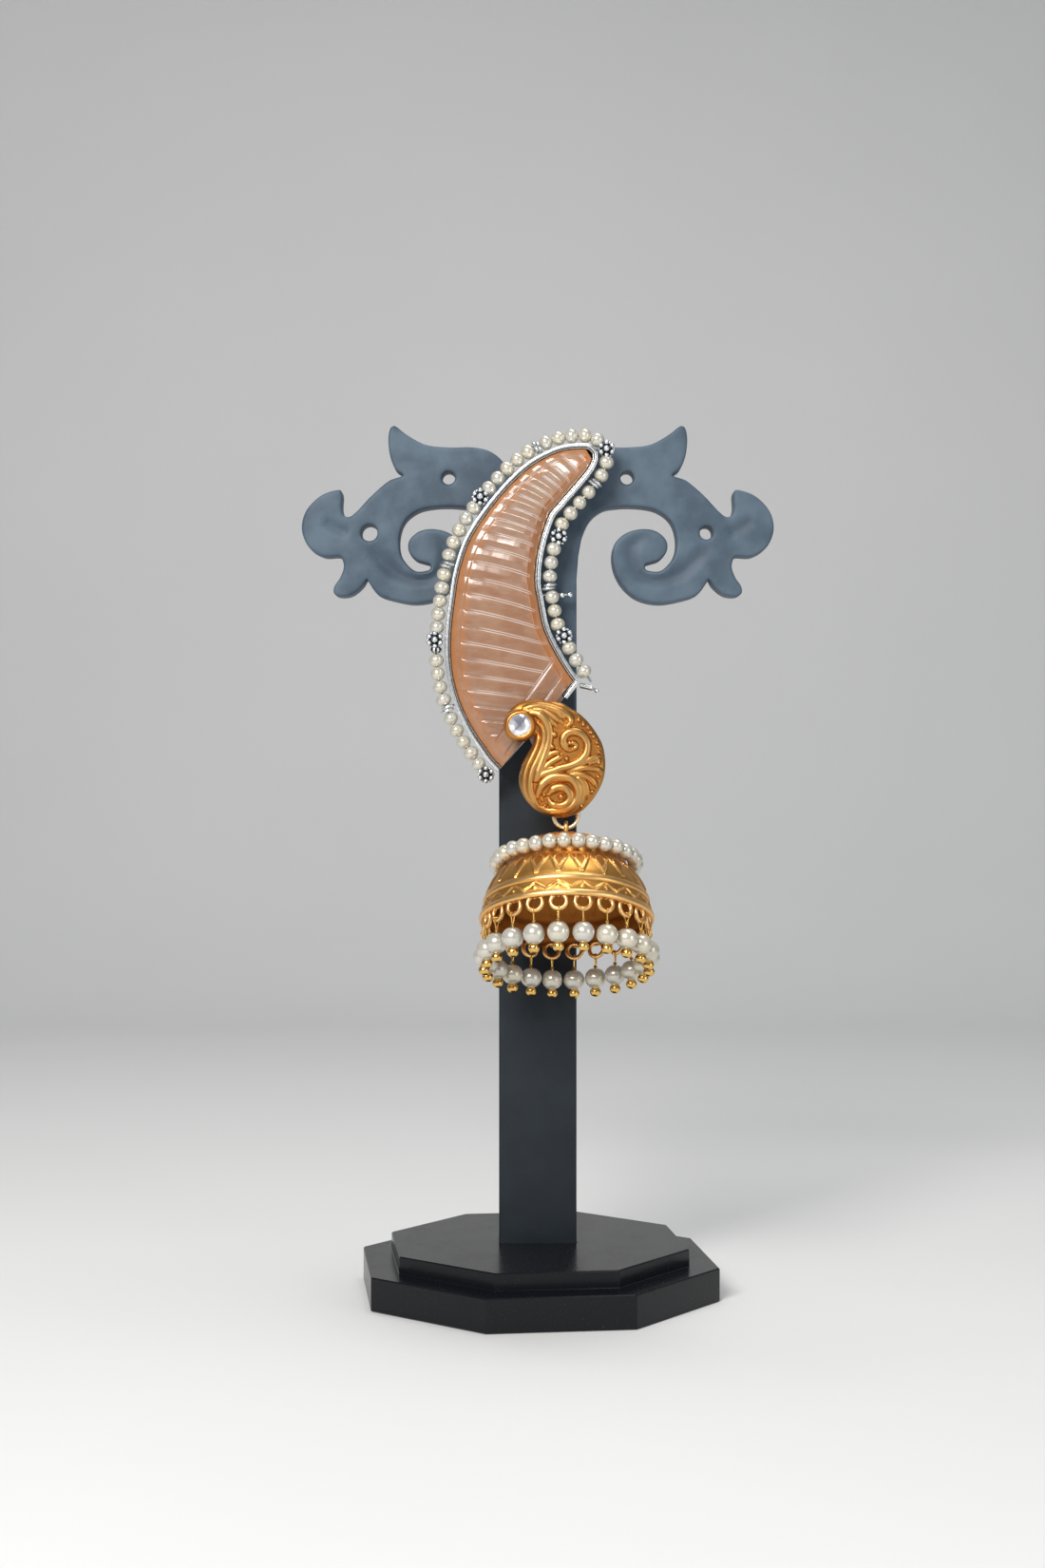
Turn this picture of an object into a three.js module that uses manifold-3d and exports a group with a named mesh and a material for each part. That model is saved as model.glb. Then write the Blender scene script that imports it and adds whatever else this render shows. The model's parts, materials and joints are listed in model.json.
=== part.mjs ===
// A jhumka earring hanging on its display stand.
// Lengths are millimetres. +Z is up, the front looks along -Y, and the origin is the centre of the
// foot's bottom face.
import * as THREE from "three";
import { mergeVertices } from "three/addons/utils/BufferGeometryUtils.js";
import Module from "manifold-3d";

const wasm = await Module();
wasm.setup();

// Fit
const CLEARANCE = 0.3;
const LINK_CLEARANCE = 0.25;

// Stand
const FOOT_LOWER_FLATS = 61;
const FOOT_UPPER_FLATS = 51;
const FOOT_LOWER_HEIGHT = 5.9;
const FOOT_UPPER_HEIGHT = 3;
const FOOT_SIDES = 8;
const FOOT_TURN = 7;
const SOCKET_DEPTH = 4;
const STAND_HEIGHT = 154.3;
const STAND_THICKNESS = 5;
const POST_WIDTH = 13.8;
const ARM_SPAN = 84;
const ARM_HEIGHT = 31.75;
const ARM_HOLE_RADIUS = 0.95;

// Wing: setting, stone and string of pearls
const WING_WIDTH = 25.8;
const WING_HEIGHT = 56.6;
const WING_LEFT = -15.8;
const WING_BELOW_NOTCH = 51.875;
const WING_STANDOFF = 2.4;
const BACKPLATE = 0.8;
const BEZEL_DEPTH = 3.8;
const BEZEL_WALL = 1;
const STONE_CROWN = 1.4;
const RIB_DEPTH = 0.45;
const RIB_COUNT = 18;
const RIB_SLANT = 1.5;
const PIN_RADIUS = 0.45;
const PIN_LENGTH = 10;
const SEED_PEARL = 2.5;
const STRING_WIRE = 0.45;
const ROSETTE_RADIUS = 1.5;
const ROSETTE_HEIGHT = 2;

// Paisley and crystal
const PAISLEY_WIDTH = 17.3;
const PAISLEY_HEIGHT = 20.45;
const PAISLEY_LEFT = -5.75;
const PAISLEY_BELOW_WING = 8.25;
const PAISLEY_EDGE = 1;
const PAISLEY_DOME = 2.8;
const SCROLL_RADIUS = 0.42;
const CRYSTAL_RADIUS = 1.95;
const CRYSTAL_HEIGHT = 1.6;
const COLLET_WALL = 0.35;
const COLLET_HEIGHT = 1.1;
const COLLET_SEAT = 0.4;
const BOSS_RADIUS = 1.6;
const BAIL_RISE = 2.8;

// Jump ring and bell
const RING_RADIUS = 2.1;
const LINK_WIRE = 0.35;
const RING_CENTRE_X = 4.8;
const BELL_RADIUS = 14.6;
const BELL_HEIGHT = 16.2;
const BELL_WALL = 0.8;
const BELL_LEAN = 21.5;
const RELIEF = 0.35;
const DROP_COUNT = 22;
const DROP_PHASE = 0.6;
const RIM_LOOP_RADIUS = 1.3;
const RIM_LOOP_WIRE = 0.3;
const RIM_LOOP_INSET = 0.6;

// Pearl drops
const DROP_PEARL = 3.7;
const DROP_BALL = 1.8;
const EYE_WIRE = 0.25;
const STEM_WIRE = 0.38;
const STEM_LENGTH = 0.75;

// Mesh fineness
const BEAD_SIDES = 10;
const SHOULDER_STEPS = 24;
const RING_STEPS = 12;
const LOOP_STEPS = 10;
const WIRE_SIDES = 5;

// A table's rows with its columns named.
const table = (columns, rows) =>
  rows.map((row) => Object.fromEntries(columns.map((column, i) => [column, row[i]])));

// Right half of the stand's top, from the notch on the centre line to the post's edge.
// x is a share of half the span, z a share of the arms' height from their lowest point.
const ARM_OUTLINE = table(["x", "z"], [
  [0, 0.7], [0.06, 0.71], [0.11, 0.745], [0.14, 0.787], [0.175, 0.832], [0.215, 0.862], [0.275, 0.878],
  [0.382, 0.878], [0.478, 0.894], [0.554, 0.947], [0.614, 1], [0.633, 0.936], [0.622, 0.824],
  [0.594, 0.75], [0.554, 0.713], [0.629, 0.691], [0.705, 0.606], [0.769, 0.516], [0.809, 0.484],
  [0.829, 0.516], [0.829, 0.606], [0.853, 0.633], [0.92, 0.606], [0.984, 0.516], [1, 0.415],
  [0.968, 0.314], [0.908, 0.266], [0.845, 0.266], [0.821, 0.218], [0.837, 0.149], [0.861, 0.085],
  [0.845, 0.043], [0.793, 0.048], [0.745, 0.096], [0.725, 0.138], [0.677, 0.053], [0.598, 0.016],
  [0.506, 0], [0.414, 0.032], [0.347, 0.117], [0.315, 0.229], [0.323, 0.33], [0.371, 0.394],
  [0.446, 0.42], [0.506, 0.404], [0.546, 0.351], [0.546, 0.293], [0.514, 0.245], [0.478, 0.229],
  [0.454, 0.207], [0.478, 0.186], [0.522, 0.186], [0.578, 0.271], [0.586, 0.372], [0.562, 0.463],
  [0.506, 0.521], [0.43, 0.543], [0.339, 0.543], [0.275, 0.527], [0.223, 0.473], [0.19, 0.383],
]);
const ARM_HOLES = table(["x", "z"], [
  [0.378, 0.706], [0.714, 0.398],
]);

// Centre line of the bezel wall as shares of the wing's width and height, up the outer side to the
// tip and down the inner side to its return.
const BEZEL_OUTER = table(["x", "z"], [
  [0.35, 0.002], [0.292, 0.03], [0.225, 0.073], [0.163, 0.115], [0.117, 0.153], [0.07, 0.2],
  [0.039, 0.242], [0.013, 0.294], [0, 0.355], [0, 0.407], [0.01, 0.468], [0.029, 0.533],
  [0.046, 0.586], [0.075, 0.642], [0.122, 0.703], [0.184, 0.755], [0.256, 0.802], [0.35, 0.856],
  [0.453, 0.906], [0.556, 0.946], [0.66, 0.974], [0.763, 0.993], [0.866, 1], [0.955, 0.998],
  [1, 0.98],
]);
const BEZEL_INNER = table(["x", "z"], [
  [0.997, 0.955], [0.964, 0.925], [0.898, 0.887], [0.825, 0.849], [0.763, 0.816], [0.711, 0.788],
  [0.675, 0.746], [0.649, 0.708], [0.626, 0.661], [0.613, 0.609], [0.613, 0.567], [0.628, 0.533],
  [0.644, 0.492], [0.67, 0.44], [0.721, 0.388], [0.773, 0.346], [0.825, 0.308], [0.877, 0.275],
]);
const BEZEL_RETURN = table(["x", "z"], [
  [0.835, 0.25], [0.794, 0.226],
]);

// What is threaded on the string, in order: how many beads, their length along the wire in pearl
// pitches and their thickness as a share of a pearl's.
const STRING_UP = table(["bead", "count", "length", "thickness"], [
  ["rosette", 1, 0.88, 0.5], ["pearl", 5, 1, 1], ["tie", 1, 0.5, 0.6], ["pearl", 4, 1, 1],
  ["rondelle", 1, 0.6, 0.9], ["rosette", 1, 0.88, 0.5], ["pearl", 5, 1, 1], ["tie", 1, 0.5, 0.6],
  ["pearl", 5, 1, 1], ["rosette", 1, 0.88, 0.5], ["pearl", 5, 1, 1], ["tie", 1, 0.5, 0.6],
  ["pearl", 5, 1, 1], ["rosette", 0.5, 0.88, 0.5],
]);
const STRING_DOWN = table(["bead", "count", "length", "thickness"], [
  ["rosette", 0.5, 0.88, 0.5], ["pearl", 2, 1, 1], ["tie", 1, 0.5, 0.6], ["pearl", 4, 1, 1],
  ["rosette", 1, 0.88, 0.5], ["pearl", 3, 1, 1], ["tie", 1, 0.5, 0.6], ["pearl", 3, 1, 1],
  ["rosette", 1, 0.88, 0.5], ["pearl", 3, 1, 1], ["tie", 1, 0.4, 0.5],
]);

// Across the stone from the outer rim to the inner one: height as a share of the crown.
const STONE_SECTION = table(["across", "height", "rib"], [
  [0, 0, 0], [0.1, 0.5, 0.2], [0.5, 1, 1], [0.86, 0.7, 1], [1, 0, 0],
]);

// The paisley's outlines as shares of its width and height: the body, and the curled head, whose last
// rows run inside the body.
const PAISLEY_BODY = table(["x", "z"], [
  [0.315, 1], [0.418, 0.989], [0.57, 0.967], [0.656, 0.923], [0.741, 0.879], [0.826, 0.812],
  [0.91, 0.717], [0.97, 0.621], [0.995, 0.525], [1, 0.422], [0.979, 0.319], [0.929, 0.223],
  [0.851, 0.128], [0.757, 0.054], [0.656, 0.017], [0.553, 0], [0.433, 0.017], [0.315, 0.062],
  [0.23, 0.128], [0.171, 0.209], [0.14, 0.297], [0.145, 0.371], [0.179, 0.467], [0.23, 0.547],
  [0.273, 0.613], [0.29, 0.665], [0.294, 0.694],
]);
const PAISLEY_HEAD = table(["x", "z"], [
  [0.294, 0.694], [0.23, 0.665], [0.145, 0.646], [0.06, 0.673], [0.009, 0.739], [0, 0.805],
  [0.034, 0.886], [0.111, 0.96], [0.213, 0.993], [0.315, 1], [0.42, 0.93], [0.4, 0.75],
]);
const BODY_CENTRE = { x: 0.56, z: 0.46 };
const HEAD_CENTRE = { x: 0.149, z: 0.779 };
const MOUND = table(["inset", "height"], [
  [0, 0], [0.1, 0.45], [0.3, 0.8], [0.6, 0.96],
]);
const SCROLLS = [
  table(["x", "z"], [
    [0.66, 0.643], [0.613, 0.614], [0.587, 0.658], [0.63, 0.71], [0.715, 0.725], [0.792, 0.673],
    [0.809, 0.585], [0.75, 0.497], [0.638, 0.445], [0.485, 0.408], [0.341, 0.349], [0.29, 0.25],
  ]),
  table(["x", "z"], [
    [0.562, 0.165], [0.604, 0.187], [0.613, 0.239], [0.553, 0.275], [0.476, 0.253], [0.425, 0.18],
    [0.459, 0.1], [0.562, 0.05], [0.681, 0.07], [0.75, 0.16], [0.74, 0.27], [0.86, 0.36],
  ]),
  table(["x", "z"], [
    [0.33, 0.93], [0.345, 0.85], [0.345, 0.75], [0.31, 0.6], [0.245, 0.48], [0.22, 0.35],
    [0.25, 0.22], [0.34, 0.12],
  ]),
  table(["x", "z"], [
    [0.45, 0.93], [0.53, 0.9], [0.6, 0.86], [0.66, 0.79],
  ]),
];

// The bell's outer wall: radius and depth below the apex as shares of its size, what is raised round
// it, and which of the two alternate columns carries the raised petal or tooth.
const BELL_PROFILE = table(["radius", "depth", "ridge", "petal"], [
  [0.3, 0.07, 0, 0], [0.53, 0.15, 0, 0], [0.69, 0.3, 0, 0], [0.71, 0.43, 0, 0],
  [0.8, 0.49, 0, 0], [0.865, 0.57, 0, 1], [0.935, 0.7, 0, -1], [0.955, 0.78, 1, 0],
  [0.985, 0.9, 0, 1], [1, 1, 0, 0],
]);

const vector = (x, y, z) => new THREE.Vector3(x, y, z);
const radians = THREE.MathUtils.degToRad;

// Places that follow from the sizes
const postFront = -STAND_THICKNESS / 2;
const plateBack = postFront - WING_STANDOFF;
const plateFront = plateBack - BACKPLATE;
const bezelFront = plateFront - BEZEL_DEPTH;
const stringDepth = bezelFront + SEED_PEARL * 0.8;
const armBottom = STAND_HEIGHT - ARM_HEIGHT;
const notchBottom = armBottom + ARM_OUTLINE[0].z * ARM_HEIGHT;
const wingBottom = notchBottom - WING_BELOW_NOTCH;
const paisleyBottom = wingBottom - PAISLEY_BELOW_WING;
const footHeight = FOOT_LOWER_HEIGHT + FOOT_UPPER_HEIGHT;
const ringToLink = LINK_WIRE * 2 + LINK_CLEARANCE;
const lean = radians(BELL_LEAN);

// Closed body over a row of rings with the same number of points; a ring of one point is a pole.
function skin(rings, closed = false) {
  const points = rings.flat();
  const index = [];
  const starts = rings.map((ring, i) => rings.slice(0, i).flat().length);
  const steps = closed ? rings.length : rings.length - 1;
  for (let i = 0; i < steps; i++) {
    const j = (i + 1) % rings.length;
    const n = Math.max(rings[i].length, rings[j].length);
    for (let k = 0; k < n; k++) {
      const a = starts[i] + (k % rings[i].length);
      const b = starts[i] + ((k + 1) % rings[i].length);
      const c = starts[j] + ((k + 1) % rings[j].length);
      const d = starts[j] + (k % rings[j].length);
      if (a !== b) index.push(a, b, c);
      if (c !== d) index.push(a, c, d);
    }
  }
  let volume = 0;
  for (let t = 0; t < index.length; t += 3) {
    const [a, b, c] = [0, 1, 2].map((k) => points[index[t + k]]);
    volume += a.dot(b.clone().cross(c));
  }
  if (volume < 0) index.reverse();
  return new THREE.BufferGeometry().setFromPoints(points).setIndex(index);
}

function solid(geometry) {
  const bare = new THREE.BufferGeometry();
  bare.setAttribute("position", geometry.getAttribute("position"));
  bare.setIndex(geometry.index);
  const merged = mergeVertices(bare, 1e-4);
  return new wasm.Manifold(new wasm.Mesh({
    numProp: 3,
    vertProperties: new Float32Array(merged.attributes.position.array),
    triVerts: new Uint32Array(merged.index.array),
  }));
}

const fuse = (geometries) => geometries.map(solid).reduce((sum, next) => sum.add(next));

function geometryOf(manifold) {
  const mesh = manifold.getMesh();
  const geometry = new THREE.BufferGeometry();
  geometry.setAttribute("position", new THREE.BufferAttribute(mesh.vertProperties, mesh.numProp));
  geometry.setIndex(new THREE.BufferAttribute(mesh.triVerts, 1));
  return geometry;
}

// Plate with a flat outline in X and Z, from the plane y = back towards the front.
function plate(outline, back, depth, holes = []) {
  const shape = new THREE.Shape(outline);
  shape.holes = holes.map((hole) => new THREE.Path(hole));
  const geometry = new THREE.ExtrudeGeometry(shape, { depth, bevelEnabled: false, steps: 1 });
  return geometry.rotateX(Math.PI / 2).translate(0, back, 0);
}

const circle = (x, z, radius, sides) =>
  Array.from({ length: sides }, (unused, i) => {
    const angle = (2 * Math.PI * i) / sides;
    return new THREE.Vector2(x + radius * Math.cos(angle), z + radius * Math.sin(angle));
  });

// Round body about a line from a point along a direction; rows give radius and distance along it.
function turned(from, along, rows, sides) {
  const axis = along.clone().normalize();
  const side = Math.abs(axis.x) < 0.9 ? vector(1, 0, 0) : vector(0, 1, 0);
  const u = side.addScaledVector(axis, -side.dot(axis)).normalize();
  const v = axis.clone().cross(u);
  return skin(rows.map(([radius, distance]) => ring(
    from.clone().addScaledVector(axis, distance), u, v, radius, radius > 0 ? sides : 1)));
}

function ring(centre, u, v, radius, sides) {
  return Array.from({ length: sides }, (unused, i) => {
    const angle = (2 * Math.PI * i) / sides;
    return centre.clone()
      .addScaledVector(u, radius * Math.cos(angle))
      .addScaledVector(v, radius * Math.sin(angle));
  });
}

// Closed wire loop about a centre, whose plane holds the directions u and v.
function loop(centre, u, v, radius, wire, steps, sides) {
  const normal = u.clone().cross(v);
  return skin(Array.from({ length: steps }, (unused, i) => {
    const angle = (2 * Math.PI * (i + 0.5)) / steps;
    const out = u.clone().multiplyScalar(Math.cos(angle)).addScaledVector(v, Math.sin(angle));
    return ring(centre.clone().addScaledVector(out, radius), out, normal, wire, sides);
  }), true);
}

// Line moved sideways by a distance, to the left of its own direction.
function offset(line, distance) {
  return line.map((point, i) => {
    const before = line[Math.max(i - 1, 0)];
    const after = line[Math.min(i + 1, line.length - 1)];
    const first = point.clone().sub(before).normalize();
    const second = after.clone().sub(point).normalize();
    const along = first.clone().add(second).normalize();
    const normal = new THREE.Vector2(-along.y, along.x);
    const miter = 1 / Math.max(normal.dot(new THREE.Vector2(-second.y, second.x)) || 1, 0.85);
    const reach = i === 0 || i === line.length - 1 ? 1 : miter;
    return point.clone().addScaledVector(normal, distance * reach);
  });
}

// Stand
function octagon(flats, bottom, height) {
  const corners = flats / 2 / Math.cos(Math.PI / FOOT_SIDES);
  const prism = new THREE.CylinderGeometry(corners, corners, height, FOOT_SIDES);
  return prism.rotateX(Math.PI / 2)
    .rotateZ(radians(FOOT_TURN) + Math.PI / FOOT_SIDES)
    .translate(0, 0, bottom + height / 2);
}

function standFoot() {
  const tiers = fuse([
    octagon(FOOT_LOWER_FLATS, 0, FOOT_LOWER_HEIGHT),
    octagon(FOOT_UPPER_FLATS, FOOT_LOWER_HEIGHT / 2, footHeight - FOOT_LOWER_HEIGHT / 2),
  ]);
  const socket = new THREE.BoxGeometry(
    POST_WIDTH + 2 * CLEARANCE, STAND_THICKNESS + 2 * CLEARANCE, 2 * SOCKET_DEPTH);
  return tiers.subtract(solid(socket.translate(0, 0, footHeight)));
}

function standTop() {
  const half = ARM_OUTLINE.map((row) => new THREE.Vector2(
    row.x * ARM_SPAN / 2, armBottom + row.z * ARM_HEIGHT));
  const foot = footHeight - SOCKET_DEPTH + CLEARANCE;
  half.push(new THREE.Vector2(POST_WIDTH / 2, armBottom + 0.2 * ARM_HEIGHT));
  half.push(new THREE.Vector2(POST_WIDTH / 2, foot));
  const mirrored = half.slice(1).reverse().map((point) => new THREE.Vector2(-point.x, point.y));
  const holes = ARM_HOLES.flatMap((row) => [-1, 1].map((side) => circle(
    side * row.x * ARM_SPAN / 2, armBottom + row.z * ARM_HEIGHT, ARM_HOLE_RADIUS, BEAD_SIDES)));
  return plate([...half, ...mirrored].reverse(), -postFront, STAND_THICKNESS, holes);
}

// Wing
const wingPoint = (row) => new THREE.Vector2(
  WING_LEFT + row.x * WING_WIDTH, wingBottom + row.z * WING_HEIGHT);
const outerLine = BEZEL_OUTER.map(wingPoint);
const innerLine = BEZEL_INNER.map(wingPoint);
const returnLine = BEZEL_RETURN.map(wingPoint);
const bezelLine = [...outerLine, ...innerLine, ...returnLine];

const paisleyPoint = (row) => new THREE.Vector2(
  PAISLEY_LEFT + row.x * PAISLEY_WIDTH, paisleyBottom + row.z * PAISLEY_HEIGHT);
const bossCentre = paisleyPoint(BODY_CENTRE);

function wingSetting() {
  const wall = [...offset(bezelLine, BEZEL_WALL / 2), ...offset(bezelLine, -BEZEL_WALL / 2).reverse()];
  const tongue = returnLine[1].clone().lerp(outerLine[0], 0.35);
  const across = bossCentre.clone().sub(tongue).normalize();
  const half = new THREE.Vector2(-across.y, across.x).multiplyScalar(2 * BOSS_RADIUS);
  const strap = [
    tongue.clone().addScaledVector(across, -2 * BOSS_RADIUS).add(half),
    bossCentre.clone().add(half),
    bossCentre.clone().sub(half),
    tongue.clone().addScaledVector(across, -2 * BOSS_RADIUS).sub(half),
  ].reverse();
  const pinFoot = vector(0, plateFront, notchBottom + CLEARANCE + PIN_RADIUS);
  return fuse([
    plate(wall.reverse(), plateBack, plateBack - bezelFront),
    plate([...bezelLine].reverse(), plateBack, BACKPLATE),
    plate(strap, plateBack, BACKPLATE),
    plate(circle(bossCentre.x, bossCentre.y, 2 * BOSS_RADIUS, BEAD_SIDES), plateBack, BACKPLATE),
    turned(pinFoot, vector(0, 1, 0), [
      [0, BACKPLATE / 2], [PIN_RADIUS, BACKPLATE / 2], [PIN_RADIUS, BACKPLATE + PIN_LENGTH],
      [0, BACKPLATE + PIN_LENGTH]], BEAD_SIDES),
  ]);
}

const smooth = (points) => new THREE.CatmullRomCurve3(
  points.map((point) => vector(point.x, 0, point.y)), false, "centripetal");

function wingStone() {
  const inset = -(BEZEL_WALL / 2 + CLEARANCE);
  const outer = smooth(offset(outerLine, inset).slice(0, -2));
  const inner = smooth(offset([...innerLine, returnLine[0]], inset).slice(1, -1).reverse());
  const back = plateFront - CLEARANCE;
  const count = 2 * RIB_COUNT;
  const rings = Array.from({ length: count + 1 }, (unused, i) => {
    const share = i / count;
    const from = outer.getPointAt(share);
    const to = inner.getPointAt(share ** RIB_SLANT);
    const groove = i % 2 && i < count ? RIB_DEPTH : 0;
    const width = from.distanceTo(to);
    const crown = STONE_CROWN * Math.min(1, width / (WING_WIDTH / 3));
    const front = STONE_SECTION.map((row) => from.clone().lerp(to, row.across)
      .setY(bezelFront - crown * row.height + groove * row.rib));
    return [...front, to.clone().setY(back), from.clone().setY(back)];
  });
  const middle = (points) => points.reduce((sum, p) => sum.add(p), vector(0, 0, 0))
    .divideScalar(points.length);
  return skin([[middle(rings[0])], ...rings, [middle(rings[count])]]);
}

// Flower of six granules round a seventh, facing the front.
function rosette(centre) {
  const lobes = 6;
  const sides = 2 * lobes;
  const rows = [[0, 0, 0], [1, 0, 1], [0.85, 0.8, 1], [0.35, 0.7, 0], [0, 1, 0]];
  return skin(rows.map(([radius, height, lobed]) => Array.from(
    { length: radius > 0 ? sides : 1 }, (unused, i) => {
      const angle = (2 * Math.PI * i) / sides;
      const waist = 1 - 0.16 * lobed * (i % 2);
      const reach = ROSETTE_RADIUS * radius * waist;
      return centre.clone().add(vector(
        reach * Math.cos(angle), -ROSETTE_HEIGHT * height, reach * Math.sin(angle)));
    })));
}

// Stations along a run of the string: where each ring of the bead profile lies and how wide it is.
function stations(run, start, length) {
  const total = run.reduce((sum, row) => sum + row.count * row.length, 0);
  const pitch = length / total;
  const found = { rings: [], rosettes: [] };
  let at = start;
  for (const row of run) {
    for (let k = 0; k < row.count; k++) {
      const span = Math.min(row.count - k, 1) * row.length * pitch;
      const radius = Math.max(row.thickness * SEED_PEARL / 2, STRING_WIRE);
      if (row.bead === "rosette") {
        found.rosettes.push(span < row.length * pitch && start > 0 ? at : at + span / 2);
        found.rings.push([at, STRING_WIRE]);
      } else {
        found.rings.push([at, Math.max(radius / 2, STRING_WIRE)], [at + 0.5 * span, radius]);
      }
      at += span;
    }
  }
  return found;
}

function wingPearlString() {
  const away = BEZEL_WALL / 2 + CLEARANCE + SEED_PEARL / 2;
  const route = offset([...outerLine, ...innerLine], away);
  const curve = smooth(route);
  const lengths = curve.getLengths(20 * (route.length - 1));
  const whole = lengths[lengths.length - 1];
  const tip = lengths[20 * (outerLine.length - 1)];
  const up = stations(STRING_UP, 0, tip);
  const down = stations(STRING_DOWN, tip, whole - tip);
  const rings = [...up.rings, ...down.rings, [whole, STRING_WIRE]].map(([at, radius]) => {
    const along = curve.getTangentAt(at / whole);
    const sideways = along.clone().cross(vector(0, 1, 0)).normalize();
    const centre = curve.getPointAt(at / whole).setY(stringDepth);
    return ring(centre, sideways, vector(0, 1, 0), radius, BEAD_SIDES);
  });
  const ends = [curve.getPointAt(0).setY(stringDepth), curve.getPointAt(1).setY(stringDepth)];
  const places = [...up.rosettes.slice(0, -1), tip, ...down.rosettes.slice(1)];
  const flowers = places.map((at) => {
    const along = curve.getTangentAt(at / whole);
    const away = along.clone().cross(vector(0, 1, 0)).normalize();
    const centre = curve.getPointAt(at / whole).setY(stringDepth + STRING_WIRE);
    return rosette(centre.addScaledVector(away, ROSETTE_RADIUS - SEED_PEARL / 2));
  });
  return fuse([skin([[ends[0]], ...rings, [ends[1]]]), ...flowers]);
}

// Bell placement
// In the bell's own frame the axis runs down from the pivot, and back is away from the viewer.
const bellDown = vector(0, -Math.sin(lean), -Math.cos(lean));
const bellBack = vector(0, Math.cos(lean), -Math.sin(lean));
const bellRight = vector(1, 0, 0);
const loopDepth = BELL_HEIGHT + RIM_LOOP_RADIUS;
const loopCircle = BELL_RADIUS - RIM_LOOP_INSET;
const eyeRadius = RIM_LOOP_WIRE + EYE_WIRE + LINK_CLEARANCE;
const pearlBelowHang = eyeRadius + STEM_LENGTH + DROP_PEARL / 2;

// Out from the bell's axis at an azimuth, 0 at the right and a quarter turn at the back.
const outward = (angle) => bellRight.clone().multiplyScalar(Math.cos(angle))
  .addScaledVector(bellBack, Math.sin(angle));

function fromPivot(angle, radius, depth) {
  return outward(angle).multiplyScalar(radius).addScaledVector(bellDown, depth + ringToLink);
}

// Each rim loop's centre and the lowest point of its wire, where the drop hangs.
const hangs = Array.from({ length: DROP_COUNT }, (unused, i) => {
  const angle = -Math.PI / 2 + (2 * Math.PI * (i + DROP_PHASE)) / DROP_COUNT;
  const out = outward(angle);
  const centre = fromPivot(angle, loopCircle, loopDepth);
  const down = vector(0, 0, -1).addScaledVector(out, out.z).normalize();
  return { angle, out, centre, point: centre.clone().addScaledVector(down, RIM_LOOP_RADIUS) };
});

// The ring of seed pearls lies round the bell's shoulder, in its plain outer form.
const shoulder = BELL_PROFILE[3];
const shoulderCircle = shoulder.radius * BELL_RADIUS + CLEARANCE + SEED_PEARL / 2;
const shoulderDepth = (shoulder.depth + BELL_PROFILE[2].depth) / 2 * BELL_HEIGHT;

// The rearmost part of the leaning bell comes to rest just in front of the post.
const backReach = Math.max(
  ...hangs.map((hang) => hang.point.y + DROP_PEARL / 2),
  ...BELL_PROFILE.map((row) => fromPivot(
    Math.PI / 2, row.radius * BELL_RADIUS + RELIEF, row.depth * BELL_HEIGHT).y),
  fromPivot(Math.PI / 2, shoulderCircle, shoulderDepth).y + SEED_PEARL / 2,
);
const ringDepth = postFront - CLEARANCE - backReach;
const bailCentreZ = paisleyBottom + BAIL_RISE;
const bailRadius = LINK_WIRE * 3 + LINK_CLEARANCE;
const ringPivotZ = bailCentreZ - bailRadius;
const ringCentreZ = ringPivotZ + ringToLink - RING_RADIUS;
const pivot = vector(RING_CENTRE_X, ringDepth, ringCentreZ - RING_RADIUS);
const paisleyBack = ringDepth - LINK_WIRE - CLEARANCE;

// Paisley
// Height of the mound over a place, between its edge and its dome.
function mound(outline, centre, dome) {
  const middle = paisleyPoint(centre);
  const rim = outline.map(paisleyPoint);
  const at = (point, height) => vector(point.x, paisleyBack - height, point.y);
  const rings = MOUND.map((row) => rim.map((point) => at(
    point.clone().lerp(middle, row.inset), PAISLEY_EDGE + (dome - PAISLEY_EDGE) * row.height)));
  return skin([[at(middle, 0)], rim.map((point) => at(point, 0)), ...rings, [at(middle, dome)]]);
}

function moundHeight(point) {
  const middle = paisleyPoint(BODY_CENTRE);
  const rim = PAISLEY_BODY.map(paisleyPoint);
  const ray = point.clone().sub(middle);
  let share = 0;
  rim.forEach((start, i) => {
    const edge = rim[(i + 1) % rim.length].clone().sub(start);
    const to = start.clone().sub(middle);
    const turn = ray.cross(edge);
    const along = ray.cross(to) / -turn;
    const reach = to.cross(edge) / turn;
    if (reach > 0 && along >= 0 && along <= 1) share = Math.max(share, 1 / reach);
  });
  const inset = Math.min(Math.max(1 - share, 0), 1);
  const rows = [...MOUND, { inset: 1, height: 1 }];
  const above = rows.findIndex((row) => row.inset >= inset);
  const high = rows[above];
  const low = rows[Math.max(above - 1, 0)];
  const mix = high.inset > low.inset ? (inset - low.inset) / (high.inset - low.inset) : 0;
  const height = low.height + (high.height - low.height) * mix;
  return PAISLEY_EDGE + (PAISLEY_DOME - PAISLEY_EDGE) * height;
}

function scroll(rows) {
  const flat = rows.map(paisleyPoint);
  const curve = smooth(flat);
  const count = rows.length;
  const centres = Array.from({ length: count + 1 }, (unused, i) => {
    const point = curve.getPointAt(i / count);
    return point.setY(paisleyBack - moundHeight(new THREE.Vector2(point.x, point.z)));
  });
  const rings = centres.map((centre, i) => {
    const along = centres[Math.min(i + 1, count)].clone().sub(centres[Math.max(i - 1, 0)]).normalize();
    const sideways = along.clone().cross(vector(0, 1, 0)).normalize();
    const up = sideways.clone().cross(along);
    const taper = 0.5 + 0.5 * Math.sin(Math.PI * Math.min(1, (i + 2) / (count / 2)) / 2);
    return ring(centre, sideways, up, SCROLL_RADIUS * taper, WIRE_SIDES);
  });
  return skin([[centres[0]], ...rings, [centres[count]]]);
}

const headDome = PAISLEY_DOME * 0.72;
const crystalCentre = paisleyPoint(HEAD_CENTRE);

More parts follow.
